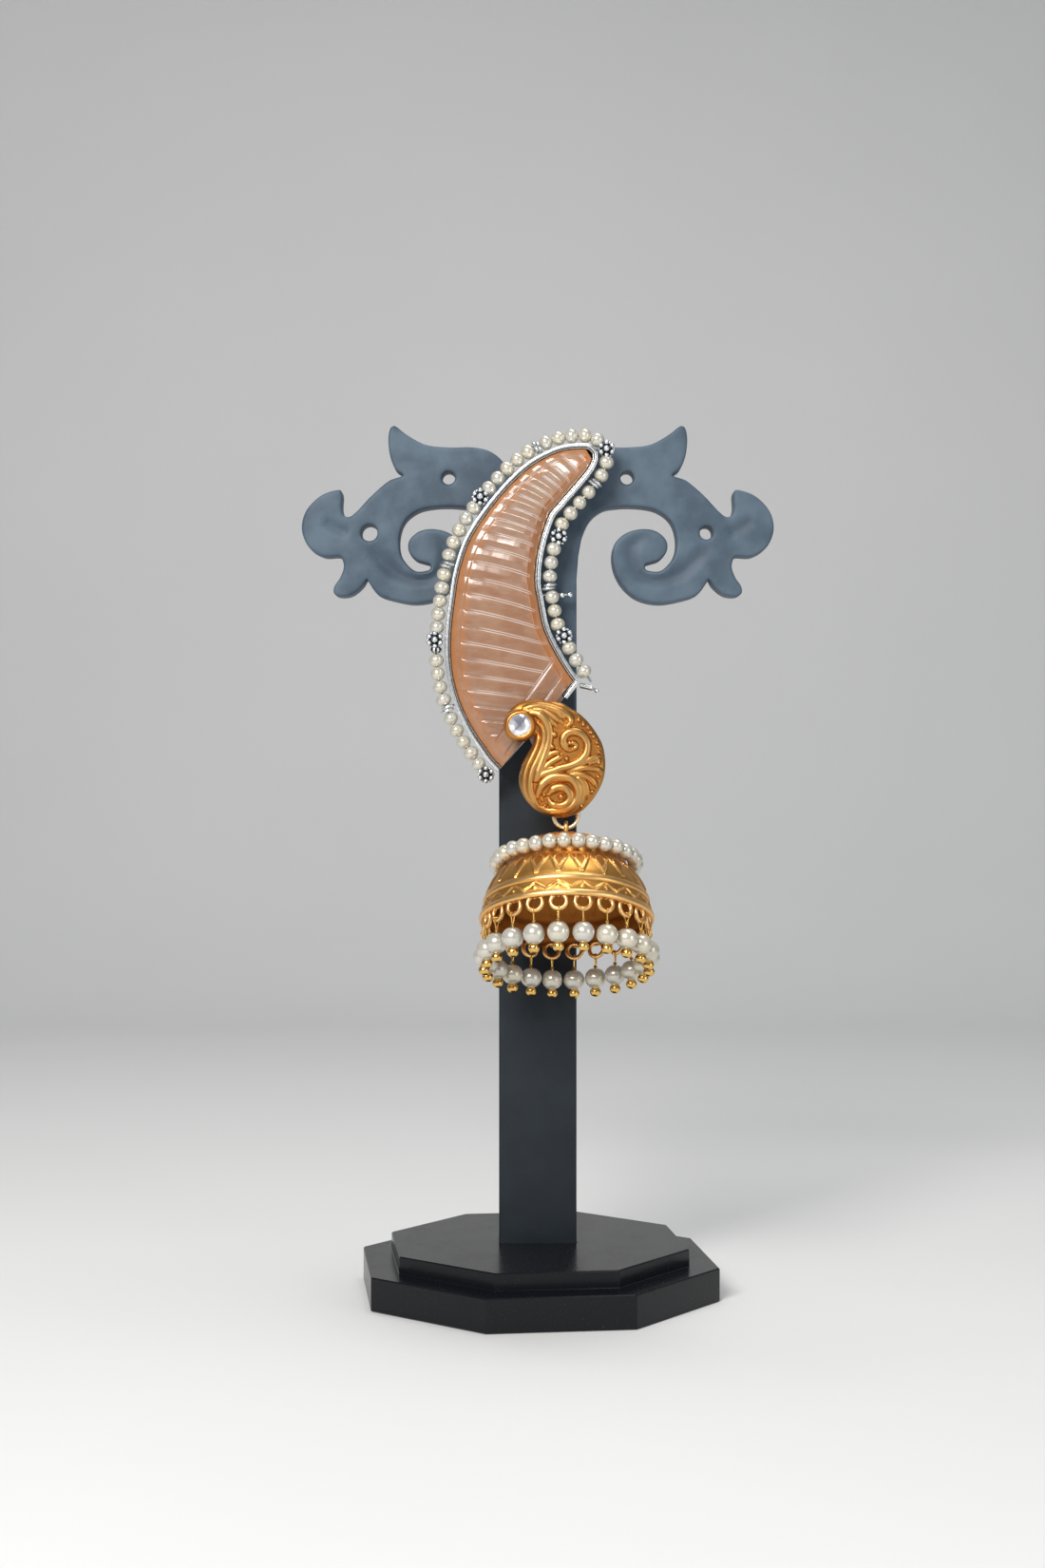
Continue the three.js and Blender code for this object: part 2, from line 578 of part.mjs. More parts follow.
function paisley() {
  const bore = CRYSTAL_RADIUS + CLEARANCE;
  const collet = vector(crystalCentre.x, paisleyBack, crystalCentre.y);
  const front = vector(0, -1, 0);
  const rimTop = headDome + COLLET_HEIGHT;
  const cup = solid(turned(collet, front, [
    [0, PAISLEY_EDGE], [bore + COLLET_WALL, PAISLEY_EDGE], [bore + COLLET_WALL, rimTop], [0, rimTop],
  ], RING_STEPS)).subtract(solid(turned(collet, front, [
    [0, headDome - COLLET_SEAT], [bore, headDome], [bore, rimTop + COLLET_HEIGHT],
    [0, rimTop + COLLET_HEIGHT]], RING_STEPS)));
  const boss = turned(vector(bossCentre.x, plateFront - CLEARANCE, bossCentre.y), front, [
    [0, 0], [BOSS_RADIUS, 0], [BOSS_RADIUS, plateFront - paisleyBack + PAISLEY_EDGE / 2],
    [0, plateFront - paisleyBack + PAISLEY_EDGE / 2]], BEAD_SIDES);
  const bail = loop(vector(RING_CENTRE_X, ringDepth, bailCentreZ), vector(0, 1, 0), vector(0, 0, 1),
    bailRadius, LINK_WIRE, LOOP_STEPS, WIRE_SIDES);
  const mounds = fuse([
    mound(PAISLEY_BODY, BODY_CENTRE, PAISLEY_DOME),
    mound(PAISLEY_HEAD, HEAD_CENTRE, headDome),
    ...SCROLLS.map(scroll),
  ]);
  const seat = solid(turned(collet, front, [
    [0, headDome - COLLET_SEAT], [bore, headDome], [bore, rimTop + 2 * COLLET_HEIGHT],
    [0, rimTop + 2 * COLLET_HEIGHT]], RING_STEPS));
  return mounds.subtract(seat).add(cup).add(solid(boss)).add(solid(bail));
}

function crystal() {
  const facets = 8;
  const culet = headDome + CLEARANCE;
  return turned(vector(crystalCentre.x, paisleyBack, crystalCentre.y), vector(0, -1, 0), [
    [0, culet - 0.1],
    [0.55 * CRYSTAL_RADIUS, culet + 0.25 * CRYSTAL_HEIGHT],
    [CRYSTAL_RADIUS, culet + 0.6 * CRYSTAL_HEIGHT],
    [CRYSTAL_RADIUS, culet + 0.65 * CRYSTAL_HEIGHT],
    [0.6 * CRYSTAL_RADIUS, culet + CRYSTAL_HEIGHT],
    [0, culet + CRYSTAL_HEIGHT],
  ], facets);
}

// Jump ring and bell
const jumpRing = () => loop(
  vector(RING_CENTRE_X, ringDepth, ringCentreZ), vector(1, 0, 0), vector(0, 0, 1),
  RING_RADIUS, LINK_WIRE, RING_STEPS, WIRE_SIDES);

function bell() {
  const columns = 2 * DROP_COUNT;
  const raisedBy = (row, k) => RELIEF * (row.ridge * 0.7
    + (row.petal > 0 && k % 2 === 0 ? 1 : 0) + (row.petal < 0 && k % 2 === 1 ? 1 : 0));
  const wallRing = (row, thickness) => Array.from({ length: columns }, (unused, k) => {
    const angle = -Math.PI / 2 + (2 * Math.PI * (k + 2 * DROP_PHASE)) / columns;
    const raised = thickness > 0 ? 0 : raisedBy(row, k);
    const radius = row.radius * BELL_RADIUS + raised - thickness;
    const depth = row.depth * BELL_HEIGHT + (row.depth < 0.25 ? thickness : 0);
    return fromPivot(angle, radius, Math.min(depth, BELL_HEIGHT)).add(pivot);
  });
  const outside = BELL_PROFILE.map((row) => wallRing(row, 0));
  const inside = BELL_PROFILE.filter((row, i) => i % 3 === 0).map((row) => wallRing(row, BELL_WALL));
  const apex = fromPivot(0, 0, 0).add(pivot);
  const ceiling = fromPivot(0, 0, BELL_WALL).add(pivot);
  const shell = skin([[apex], ...outside, ...inside.reverse(), [ceiling]]);
  const rimLoops = hangs.map((hang) => loop(
    hang.centre.clone().add(pivot), hang.out.clone().cross(bellDown), bellDown.clone(),
    RIM_LOOP_RADIUS, RIM_LOOP_WIRE, LOOP_STEPS, WIRE_SIDES));
  const topLoop = loop(pivot.clone(), vector(0, 1, 0), vector(0, 0, 1),
    ringToLink, LINK_WIRE, LOOP_STEPS, WIRE_SIDES);
  return fuse([shell, topLoop, ...rimLoops]);
}

function bellPearlRing() {
  return skin(Array.from({ length: SHOULDER_STEPS }, (unused, i) => {
    const angle = (2 * Math.PI * i) / SHOULDER_STEPS;
    const centre = fromPivot(angle, shoulderCircle, shoulderDepth).add(pivot);
    return ring(centre, outward(angle), bellDown, SEED_PEARL / 2, BEAD_SIDES);
  }), true);
}

function pearlDrop(hang) {
  const point = hang.point.clone().add(pivot);
  const level = vector(hang.out.x, hang.out.y, 0).normalize();
  const eye = loop(point, level, vector(0, 0, 1), eyeRadius, EYE_WIRE, LOOP_STEPS, WIRE_SIDES);
  const pearl = DROP_PEARL / 2;
  const ball = DROP_BALL / 2;
  const ballCentre = pearlBelowHang + pearl + ball * 0.85;
  const bead = turned(point, vector(0, 0, -1), [
    [0, eyeRadius - EYE_WIRE / 2],
    [STEM_WIRE, eyeRadius],
    [STEM_WIRE, pearlBelowHang - pearl],
    [pearl, pearlBelowHang - 0.38 * pearl],
    [pearl, pearlBelowHang + 0.38 * pearl],
    [0.4 * ball, pearlBelowHang + pearl],
    [ball, ballCentre],
    [0, ballCentre + ball],
  ], BEAD_SIDES);
  return fuse([eye, bead]);
}

// Assembly
const material = (color, metalness, roughness) =>
  new THREE.MeshStandardMaterial({ color, metalness, roughness });
const blackGloss = material(0x0c0d10, 0, 0.15);
const smokeBlue = material(0x55616e, 0, 0.5);
const silver = material(0xb9bec2, 1, 0.35);
const peach = material(0xd79a74, 0, 0.2);
const pearlWhite = material(0xe8e2d6, 0, 0.3);
const gold = material(0xc98f3a, 1, 0.4);
const clear = material(0xf4f6fa, 0, 0.05);

const group = new THREE.Group();
function add(name, shape, look) {
  const geometry = shape.isBufferGeometry ? geometryOf(solid(shape)) : geometryOf(shape);
  const mesh = new THREE.Mesh(geometry, look);
  mesh.name = name;
  group.add(mesh);
}

add("stand_base", standFoot(), blackGloss);
add("stand_post_and_arms", standTop(), smokeBlue);
add("wing_setting", wingSetting(), silver);
add("wing_stone", wingStone(), peach);
add("wing_pearl_string", wingPearlString(), pearlWhite);
add("paisley", paisley(), gold);
add("crystal", crystal(), clear);
add("jump_ring", jumpRing(), gold);
add("bell", bell(), gold);
add("bell_pearl_ring", bellPearlRing(), pearlWhite);
hangs.forEach((hang, i) => add(
  "pearl_drop_" + String(i + 1).padStart(2, "0"), pearlDrop(hang), pearlWhite));

export default group;
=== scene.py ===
# %% [markdown]
# # A jhumka earring on its display stand
# A jhumka is a bell-shaped drop earring. This one hangs from a carved stone wing with a silver rim and a
# string of seed pearls, under a gold paisley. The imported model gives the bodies, the joints and plain
# solids. This notebook puts the fine surface of every piece around them.
# All shapes are worked out in millimetres and turned into metres when they become a mesh.

import json
from collections import namedtuple

import bmesh
import bpy
import numpy as np
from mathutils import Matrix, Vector
from mathutils.geometry import delaunay_2d_cdt


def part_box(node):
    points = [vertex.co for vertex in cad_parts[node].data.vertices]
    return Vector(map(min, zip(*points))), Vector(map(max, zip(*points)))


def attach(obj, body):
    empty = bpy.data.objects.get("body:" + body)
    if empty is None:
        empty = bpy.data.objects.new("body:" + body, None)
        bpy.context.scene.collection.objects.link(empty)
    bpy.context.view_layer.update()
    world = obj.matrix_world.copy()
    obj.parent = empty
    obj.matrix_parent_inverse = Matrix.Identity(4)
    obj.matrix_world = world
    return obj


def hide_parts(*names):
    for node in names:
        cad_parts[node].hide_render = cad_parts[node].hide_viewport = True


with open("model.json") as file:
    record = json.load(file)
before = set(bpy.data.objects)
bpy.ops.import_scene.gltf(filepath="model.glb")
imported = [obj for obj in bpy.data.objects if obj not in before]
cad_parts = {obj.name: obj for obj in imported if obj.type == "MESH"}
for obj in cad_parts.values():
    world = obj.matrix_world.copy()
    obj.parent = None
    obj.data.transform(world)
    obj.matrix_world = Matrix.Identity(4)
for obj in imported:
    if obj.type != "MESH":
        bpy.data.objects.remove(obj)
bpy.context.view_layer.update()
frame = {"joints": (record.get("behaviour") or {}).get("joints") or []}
MM = 0.001
PIVOTS = {joint["name"]: np.array(joint["pos_m"]) / MM for joint in frame["joints"]}


def box_mm(node):
    """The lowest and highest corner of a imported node, in millimetres."""
    low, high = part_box(node)
    return np.array(low) / MM, np.array(high) / MM


# %% [markdown]
# ## Surfaces as arrays
# Every piece is made of skins: rows of points, worked out by a formula for whole arrays at once, with
# faces between neighbouring rows and columns. Modelling by hand would hide the sizes, and a modifier
# stack would hide the order, so a skin keeps the formula of the shape in sight.
# Each point also carries three paints between 0 and 1: how deep it lies in a hollow, how strongly a high
# point or a rim stands out, and a chance value that is the same all over one bead. The first two darken
# and lighten the surface: painted shade and painted highlight on most pieces, tarnish in the silver's
# grooves, and the pale lines and orange rim of the stone.

# %% Skins and their faces
Skin = namedtuple("Skin", "points quads triangles paint")


def ring_faces(rows, columns, wrap_rows, wrap_columns):
    """Quads between neighbouring points of a grid, corner i, j at number i * columns + j."""
    i = np.arange(rows if wrap_rows else rows - 1)[:, None]
    j = np.arange(columns if wrap_columns else columns - 1)[None, :]
    here = i * columns + j
    right = i * columns + (j + 1) % columns
    above = ((i + 1) % rows) * columns + j
    corner = ((i + 1) % rows) * columns + (j + 1) % columns
    return np.stack([here, right, corner, above], axis=-1).reshape(-1, 4)


def flipped(skin):
    """The same skin with its faces turned round."""
    return skin._replace(quads=skin.quads[:, ::-1], triangles=skin.triangles[:, ::-1])


def outward(skin):
    """Turns a closed skin so that the volume under its faces, a sum of corner determinants, is positive."""
    corners = np.concatenate([skin.triangles, skin.quads[:, [0, 1, 2]], skin.quads[:, [0, 2, 3]]])
    a, b, c = (skin.points[corners[:, k]] for k in range(3))
    return skin if np.einsum("ij,ij->", a, np.cross(b, c)) > 0 else flipped(skin)


def skin_over(rows, wrap_rows=False, wrap_columns=True, poles=None, paint=(0, 0, 0)):
    """Skin over rows of points. Where it wraps along its columns only, each end is closed by a fan to
    the middle of its row, or to the poles given."""
    rows = np.asarray(rows, float)
    count, columns = rows.shape[:2]
    points = rows.reshape(-1, 3)
    paint = np.broadcast_to(np.asarray(paint, float), rows.shape).reshape(-1, 3)
    quads = ring_faces(count, columns, wrap_rows, wrap_columns)
    triangles = np.zeros((0, 3), int)
    if wrap_columns and not wrap_rows:
        ends = poles if poles is not None else (rows[0].mean(axis=0), rows[-1].mean(axis=0))
        around = np.arange(columns)
        after = (around + 1) % columns
        first, last = len(points), len(points) + 1
        bottom = np.stack([np.full(columns, first), after, around], axis=1)
        top = np.stack([np.full(columns, last), around, after], axis=1)
        top[:, 1:] += (count - 1) * columns
        points = np.concatenate([points, np.array(ends, float)])
        paint = np.concatenate([paint, paint[:1], paint[-1:]])
        triangles = np.concatenate([bottom, top])
    return outward(Skin(points, quads, triangles, paint))


def joined(*skins):
    """Several skins as one, each one's corner numbers moved past those before it."""
    starts = np.cumsum([0] + [len(skin.points) for skin in skins[:-1]])
    return Skin(
        np.concatenate([skin.points for skin in skins]),
        np.concatenate([skin.quads + start for skin, start in zip(skins, starts)]),
        np.concatenate([skin.triangles + start for skin, start in zip(skins, starts)]),
        np.concatenate([skin.paint for skin in skins]))


def chance(count, seed):
    """One value between 0 and 1 for each copy: the broken part of a large sine."""
    return np.modf(np.abs(np.sin(np.arange(1, count + 1) * 12.9898 + seed * 78.233)) * 43758.5453)[0]


def copies(skin, places, axes=None, seed=0):
    """Copies of a skin: a point goes to its copy's place plus its own three lengths along the copy's axes."""
    count, size = len(places), len(skin.points)
    axes = np.broadcast_to(np.eye(3), (count, 3, 3)) if axes is None else axes
    points = places[:, None] + np.einsum("kj,njx->nkx", skin.points, axes)
    shift = np.arange(count)[:, None, None] * size
    paint = np.broadcast_to(skin.paint, (count, size, 3)).copy()
    paint[:, :, 2] = chance(count, seed)[:, None]
    return Skin(points.reshape(-1, 3), (skin.quads + shift).reshape(-1, 4),
                (skin.triangles + shift).reshape(-1, 3), paint.reshape(-1, 3))


# %% From a skin to a Blender piece
def make_piece(name, skin, look, body, nodes=(), crease=40, weld=0.0):
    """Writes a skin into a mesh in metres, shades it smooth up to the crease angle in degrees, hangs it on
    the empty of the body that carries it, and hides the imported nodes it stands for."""
    mesh = bpy.data.meshes.new(name)
    mesh.from_pydata((skin.points * MM).tolist(), [], skin.quads.tolist() + skin.triangles.tolist())
    paint = mesh.attributes.new("paint", "FLOAT_COLOR", "POINT")
    rgba = np.concatenate([skin.paint, np.ones((len(skin.paint), 1))], axis=1)
    paint.data.foreach_set("color", rgba.ravel())
    if weld > 0:
        shape = bmesh.new()
        shape.from_mesh(mesh)
        bmesh.ops.remove_doubles(shape, verts=shape.verts, dist=weld * MM)
        shape.to_mesh(mesh)
        shape.free()
    mesh.shade_smooth()
    mesh.set_sharp_from_angle(angle=np.radians(crease))
    mesh.materials.append(look)
    piece = bpy.data.objects.new(name, mesh)
    bpy.context.scene.collection.objects.link(piece)
    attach(piece, body)
    if nodes:
        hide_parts(*nodes)
    triangles = 2 * len(skin.quads) + len(skin.triangles)
    print(f"{name}: {triangles} triangles on {body}")
    return piece


# %% [markdown]
# ## Lines that shapes follow
# Outlines and routes are short rows of given points. A centripetal Catmull-Rom curve goes through all
# of them without overshooting, which suits a hammered strip or a moulded edge. Where the real edge has a
# corner, the line is made of two curves that meet there.

# %% Smooth lines, offsets and measured places along them
def smooth_line(points, steps, closed=False):
    """Centripetal Catmull-Rom curve through the points: between two of them, a blend of three straight
    lines whose parameters grow with the square root of the distance."""
    points = np.asarray(points, float)
    if closed:
        padded = np.concatenate([points[-1:], points, points[:2]])
    else:
        padded = np.concatenate([[2 * points[0] - points[1]], points, [2 * points[-1] - points[-2]]])
    p0, p1, p2, p3 = (padded[k:len(padded) - 3 + k, None] for k in range(4))
    knot = lambda a, b: np.sqrt(np.linalg.norm(b - a, axis=-1, keepdims=True)) + 1e-9
    t1 = knot(p0, p1)
    t2 = t1 + knot(p1, p2)
    t3 = t2 + knot(p2, p3)
    t = t1 + (t2 - t1) * (np.arange(steps) / steps)[None, :, None]
    a1 = (t1 - t) / t1 * p0 + t / t1 * p1
    a2 = (t2 - t) / (t2 - t1) * p1 + (t - t1) / (t2 - t1) * p2
    a3 = (t3 - t) / (t3 - t2) * p2 + (t - t2) / (t3 - t2) * p3
    b1 = (t2 - t) / t2 * a1 + t / t2 * a2
    b2 = (t3 - t) / (t3 - t1) * a2 + (t - t1) / (t3 - t1) * a3
    curve = ((t2 - t) / (t2 - t1) * b1 + (t - t1) / (t2 - t1) * b2).reshape(-1, points.shape[1])
    return curve if closed else np.concatenate([curve, points[-1:]])


def cornered_line(points, corners, steps):
    """Smooth curves between the rows that are corners, put end to end."""
    stops = [0] + [k for k in np.flatnonzero(corners) if 0 < k < len(points) - 1] + [len(points) - 1]
    runs = [smooth_line(points[a:b + 1], steps)[:-1] for a, b in zip(stops, stops[1:])]
    return np.concatenate(runs + [points[-1:]])


def unit(vectors):
    """Vectors of length one along the last axis."""
    return vectors / np.maximum(np.linalg.norm(vectors, axis=-1, keepdims=True), 1e-9)


def tangents(line, closed=False):
    """Direction of the line at each point, from the point before to the point after."""
    if closed:
        return unit(np.roll(line, -1, axis=0) - np.roll(line, 1, axis=0))
    return unit(np.gradient(line, axis=0))


def moved_sideways(line, distance, closed=False):
    """A flat line moved to the left of its own direction."""
    along = tangents(line, closed)
    return line + distance * np.stack([-along[:, 1], along[:, 0]], axis=1)


def lengths_along(line):
    """Distance from the line's start to each of its points."""
    return np.concatenate([[0], np.cumsum(np.linalg.norm(np.diff(line, axis=0), axis=1))])


def places_on(line, distances):
    """Points at given distances along a line, each coordinate interpolated."""
    at = lengths_along(line)
    return np.stack([np.interp(distances, at, line[:, k]) for k in range(line.shape[1])], axis=1)


def evenly(line, count):
    """The same line with its points at equal distances."""
    return places_on(line, np.linspace(0, lengths_along(line)[-1], count))


def upright(line, depth):
    """A flat line of x and z as points in space at one depth y."""
    return np.stack([line[:, 0], np.broadcast_to(depth, len(line)), line[:, 1]], axis=1)


def nearest_on(line, places):
    """Distance from each place to a line, and the share of the line's length where it is nearest. Each
    straight step of the line is tried on all places at once."""
    best, share = np.full(len(places), np.inf), np.zeros(len(places))
    at = lengths_along(line) / lengths_along(line)[-1]
    for start, end, low, high in zip(line[:-1], line[1:], at[:-1], at[1:]):
        step = end - start
        foot = np.clip((places - start) @ step / (step @ step), 0, 1)
        distance = np.hypot(*(places - start - foot[:, None] * step).T)
        closer = distance < best
        best[closer] = distance[closer]
        share[closer] = (low + foot * (high - low))[closer]
    return best, share


# %% Basic bodies
def swept(line, section, up, closed=False, sizes=1.0, paint=(0, 0, 0)):
    """Carries a flat section along a line in space: a section point (a, b) lies a to the side and b
    upwards, where the side is square to both the line and the up direction."""
    along = tangents(line, closed)
    side = unit(np.cross(along, np.broadcast_to(up, along.shape)))
    rise = np.cross(side, along)
    section = np.asarray(section, float)
    scale = np.broadcast_to(sizes, len(line))[:, None, None]
    rows = (line[:, None] + scale * section[None, :, :1] * side[:, None]
            + scale * section[None, :, 1:] * rise[:, None])
    return skin_over(rows, wrap_rows=closed, paint=paint)


def circle(radius, sides):
    """Points of a circle: radius times cosine and sine of evenly spaced angles."""
    angle = 2 * np.pi * np.arange(sides) / sides
    return radius * np.stack([np.cos(angle), np.sin(angle)], axis=1)


def wire(line, radius, sides=8, up=(0, 1, 0), closed=False, sizes=1.0, paint=(0, 0, 0)):
    """Round wire: a circle carried along a line."""
    return swept(line, circle(radius, sides), np.array(up, float), closed, sizes, paint)


def carried_round(section, sides):
    """Rows of points round z: each radius times cosine and sine of the angle, at its own height."""
    heights = np.broadcast_to(section[:, None, 1:], (len(section), sides, 1))
    return np.concatenate([section[:, None, :1] * circle(1, sides), heights], axis=2)


def turned(profile, sides, paint=(0, 0, 0)):
    """Turned body about z. The first and last rows of the profile are its poles on the axis."""
    profile = np.asarray(profile, float)
    poles = ([0, 0, profile[0, 1]], [0, 0, profile[-1, 1]])
    return skin_over(carried_round(profile[1:-1], sides), poles=poles, paint=paint)


def bead(radius, length, rows, sides, hole=0.0, paint=(0, 0, 0)):
    """Bead threaded along z: an ellipse of that radius and length turned about it, with a small dimple
    where the drill went in."""
    angle = np.linspace(0, np.pi, rows)
    radii = radius * np.sin(angle)
    heights = -length / 2 * np.cos(angle)
    dimple = hole * np.exp(-(radii / (0.22 * radius)) ** 2)
    heights = heights - np.sign(heights) * dimple
    return turned(np.stack([radii, heights], axis=1), sides, paint)


def framed(along, up=(0, 1, 0)):
    """Three axes for each direction: side, up and the direction itself."""
    along = unit(np.asarray(along, float))
    side = unit(np.cross(np.broadcast_to(np.array(up, float), along.shape), along))
    return np.stack([side, np.cross(along, side), along], axis=1)

# %% [markdown]
# ## Finishes
# The materials are small networks of nodes. Writing them as sums and products of values keeps them as
# short as the recipe that a jeweller would give: base metal, less in the hollows, brighter on the edges.
# Here the darker hollows and brighter edges are partly painted shade and painted highlight.
# A value here wraps one socket, and the usual operators on it add the Math nodes.

# %% Values that do arithmetic, and finishes that hold them
class Value:
    """A socket of a material. +, -, *, / and ** on it add one Math node each."""

    def __init__(self, finish, socket):
        self.finish, self.socket = finish, socket

    def math(self, operation, first, second):
        return self.finish.node("ShaderNodeMath", {"operation": operation}, {0: first, 1: second})

    def __add__(self, other):
        return self.math("ADD", self, other)

    def __radd__(self, other):
        return self.math("ADD", other, self)

    def __sub__(self, other):
        return self.math("SUBTRACT", self, other)

    def __rsub__(self, other):
        return self.math("SUBTRACT", other, self)

    def __mul__(self, other):
        return self.math("MULTIPLY", self, other)

    def __rmul__(self, other):
        return self.math("MULTIPLY", other, self)

    def __truediv__(self, other):
        return self.math("DIVIDE", self, other)

    def __pow__(self, other):
        return self.math("POWER", self, other)

    def between(self, low, high):
        """0 below low, 1 above high and a smooth rise between them."""
        return self.finish.node("ShaderNodeMapRange", {"interpolation_type": "SMOOTHSTEP"},
                                {"Value": self, "From Min": low, "From Max": high})


class Finish:
    """A material under construction, with its Principled shader."""

    def __init__(self, name, **constants):
        self.material = bpy.data.materials.new(name)
        self.material.use_nodes = True
        self.tree = self.material.node_tree
        self.shader = self.tree.nodes["Principled BSDF"]
        for socket, value in constants.items():
            self.shader.inputs[socket.replace("_", " ")].default_value = value

    def node(self, kind, settings=None, sockets=None, output=0):
        """Adds a node: its settings first, then a value or a link for each socket named."""
        made = self.tree.nodes.new(kind)
        for setting, value in (settings or {}).items():
            setattr(made, setting, value)
        for socket, value in (sockets or {}).items():
            if isinstance(value, Value):
                self.tree.links.new(value.socket, made.inputs[socket])
            else:
                made.inputs[socket].default_value = value
        return Value(self, made.outputs[output])

    def place(self, stretch=(1, 1, 1)):
        """Place on the object in millimetres, stretched along its axes."""
        own = self.node("ShaderNodeTexCoord", output="Object")
        scale = tuple(value / MM for value in stretch)
        return self.node("ShaderNodeMapping", {"vector_type": "POINT"}, {"Vector": own, "Scale": scale})

    def grain(self, per_mm, detail=3.0, roughness=0.5, stretch=(1, 1, 1)):
        """Cloudy noise with so many cells to a millimetre, from 0 to 1."""
        return self.node("ShaderNodeTexNoise", {"noise_dimensions": "3D"}, {
            "Vector": self.place(stretch), "Scale": per_mm, "Detail": detail, "Roughness": roughness})

    def paints(self):
        """The three paints that each point carries: hollow, highlight (the orange rim on the stone) and
        chance.
        """
        colour = self.node("ShaderNodeAttribute", {"attribute_name": "paint"}, output="Color")
        return [self.node("ShaderNodeSeparateColor", {}, {"Color": colour}, k) for k in range(3)]

    def blend(self, factor, first, second):
        """Colour between two, by a factor from 0 to 1."""
        colour = lambda value: value if isinstance(value, Value) else (*value, 1.0)
        return self.node("ShaderNodeMix", {"data_type": "RGBA", "clamp_factor": True},
                         {0: factor, 6: colour(first), 7: colour(second)}, 2)

    def bumps(self, height, distance_mm, strength=1.0):
        """Normal of a surface that the height raises by up to that distance."""
        return self.node("ShaderNodeBump", {}, {
            "Strength": strength, "Distance": distance_mm * MM, "Height": height})

    def feed(self, **sockets):
        """Links what varies over the surface to the shader, and gives the finished material."""
        for socket, value in sockets.items():
            self.tree.links.new(value.socket, self.shader.inputs[socket.replace("_", " ")])
        return self.material


# %% [markdown]
# ### Plastic of the stand
# The foot is black acrylic, polished until it mirrors the post, with fine dust in its sheen. The post and
# arms are moulded smoke-grey plastic with a frosted skin, cloudy where the mould cooled unevenly. The post
# below the arms and the mould's channels are painted darker as painted shade, and the specks on the upper
# part are painted paler as painted sheen.

# %% Black foot and smoke-grey arms
def black_gloss():
    """Near-black gloss: dust, a fine noise above a threshold, is a little paler and rougher."""
    look = Finish("black_gloss", Coat_Weight=0.05, Coat_Roughness=0.05, IOR=1.3)
    dust = look.grain(2.2, 6.0, 0.7).between(0.6, 0.74)
    smears = look.grain(0.12, 4.0, 0.6)
    return look.feed(
        Base_Color=look.blend(dust, (0.006, 0.007, 0.009), (0.03, 0.034, 0.04)),
        Roughness=0.2 + smears * 0.12 + dust * 0.25)


def smoke_plastic():
    """Frosted blue-grey: clouds of two sizes shift it between darker and paler smoke. The mould's channels
    and the post below the arms are painted darker as painted shade, and pale specks above the post add
    painted sheen to the frosting.
    """
    look = Finish("smoke_plastic", IOR=1.38, Subsurface_Weight=0.12, Subsurface_Scale=0.0015,
                  Subsurface_Radius=(0.8, 1.0, 1.2))
    clouds = look.grain(0.16, 3.0, 0.55)
    specks = look.grain(3.5, 4.0, 0.7)
    height = look.node("ShaderNodeSeparateXYZ", {}, {"Vector": look.place()}, 2)
    base = look.blend(clouds.between(0.3, 0.7), (0.05, 0.077, 0.108), (0.09, 0.128, 0.168))
    # Painted shade: the mould's channels are painted darker than the plastic around them.
    channel_shade = look.paints()[0]
    base = look.blend(channel_shade * 0.9, base, (0.028, 0.045, 0.068))
    # Painted shade: below the arms the post is painted near-black, darker than the arms, for the shade and
    # weaker light it gets.
    post = look.blend(clouds, (0.006, 0.0095, 0.013), (0.014, 0.021, 0.029))
    base = look.blend(height.between(82, 128), post, base)
    # Pale specks of the frosted skin, kept to the upper part where the light falls: frosting and painted
    # sheen.
    frost_and_sheen = specks.between(0.55, 0.8) * height.between(70, 135) * 0.35
    return look.feed(
        Base_Color=look.blend(frost_and_sheen, base, (0.17, 0.2, 0.24)),
        Roughness=0.42 + clouds * 0.12 + specks * 0.08,
        Normal=look.bumps(specks * 0.5 + clouds * 0.8, 0.12, 0.5))


# %% [markdown]
# ### Silver, gold, stone, pearl and crystal
# The silver is bright where fingers and polishing cloths reach and blackened with sulphide in every
# groove. The gold is a matte antique plating whose hollows are painted brown, its own brown together
# with painted shade, and whose high points are painted pale as painted highlight; the paisley's gold is
# painted darker than the bell's as painted dark reflection. The wing is peach moonstone or glass,
# clearer in the body and more orange towards its rim, and light spreads inside it; the pale lines along
# its cuts are painted highlight. The pearls are small freshwater ones: soft bodies under a thin clear
# coat, no two quite the same colour.

# %% Metals
def aged_silver():
    """Silver that blackens with the hollow paint, tarnish in its grooves and painted shade on the back halves
    of the granules, with fine hammer and scratch grain.
    """
    look = Finish("aged_silver", Metallic=1.0)
    hollow = look.paints()[0]
    grain = look.grain(2.4, 5.0, 0.65)
    scratches = look.grain(1.5, 4.0, 0.7, stretch=(4, 1, 0.6))
    dark = (hollow + (grain - 0.5) * 0.5).between(0.3, 0.7)
    bright = look.blend(scratches.between(0.35, 0.75), (0.9, 0.91, 0.9), (0.62, 0.65, 0.66))
    return look.feed(
        Base_Color=look.blend(dark, bright, (0.018, 0.022, 0.034)),
        Roughness=0.2 + grain * 0.16 + dark * 0.25,
        Normal=look.bumps(grain + scratches * 0.8, 0.035, 0.6))


def gold(name, high, middle, low, roughness):
    """Antique gold plating, satin all over: pale as painted highlight on what stands proud, and brown in the
    hollow paint, the plating's own brown together with painted shade.
    """
    look = Finish(name, Metallic=1.0)
    hollow, painted_highlight = look.paints()[:2]
    patina = look.grain(0.9, 5.0, 0.6)
    grain = look.grain(9.0, 3.0, 0.6)
    # Painted highlight: the highlight paint turns what stands proud to the pale high colour.
    body = look.blend(painted_highlight, middle, high)
    # The hollow paint darkens to the low brown: the plating's own brown and painted shade.
    depth = (hollow + (patina - 0.5) * 0.4).between(0.15, 0.95)
    return look.feed(
        Base_Color=look.blend(depth, body, low),
        Roughness=roughness + patina * 0.14 + depth * 0.18,
        Normal=look.bumps(grain + patina * 0.7, 0.02, 0.7))


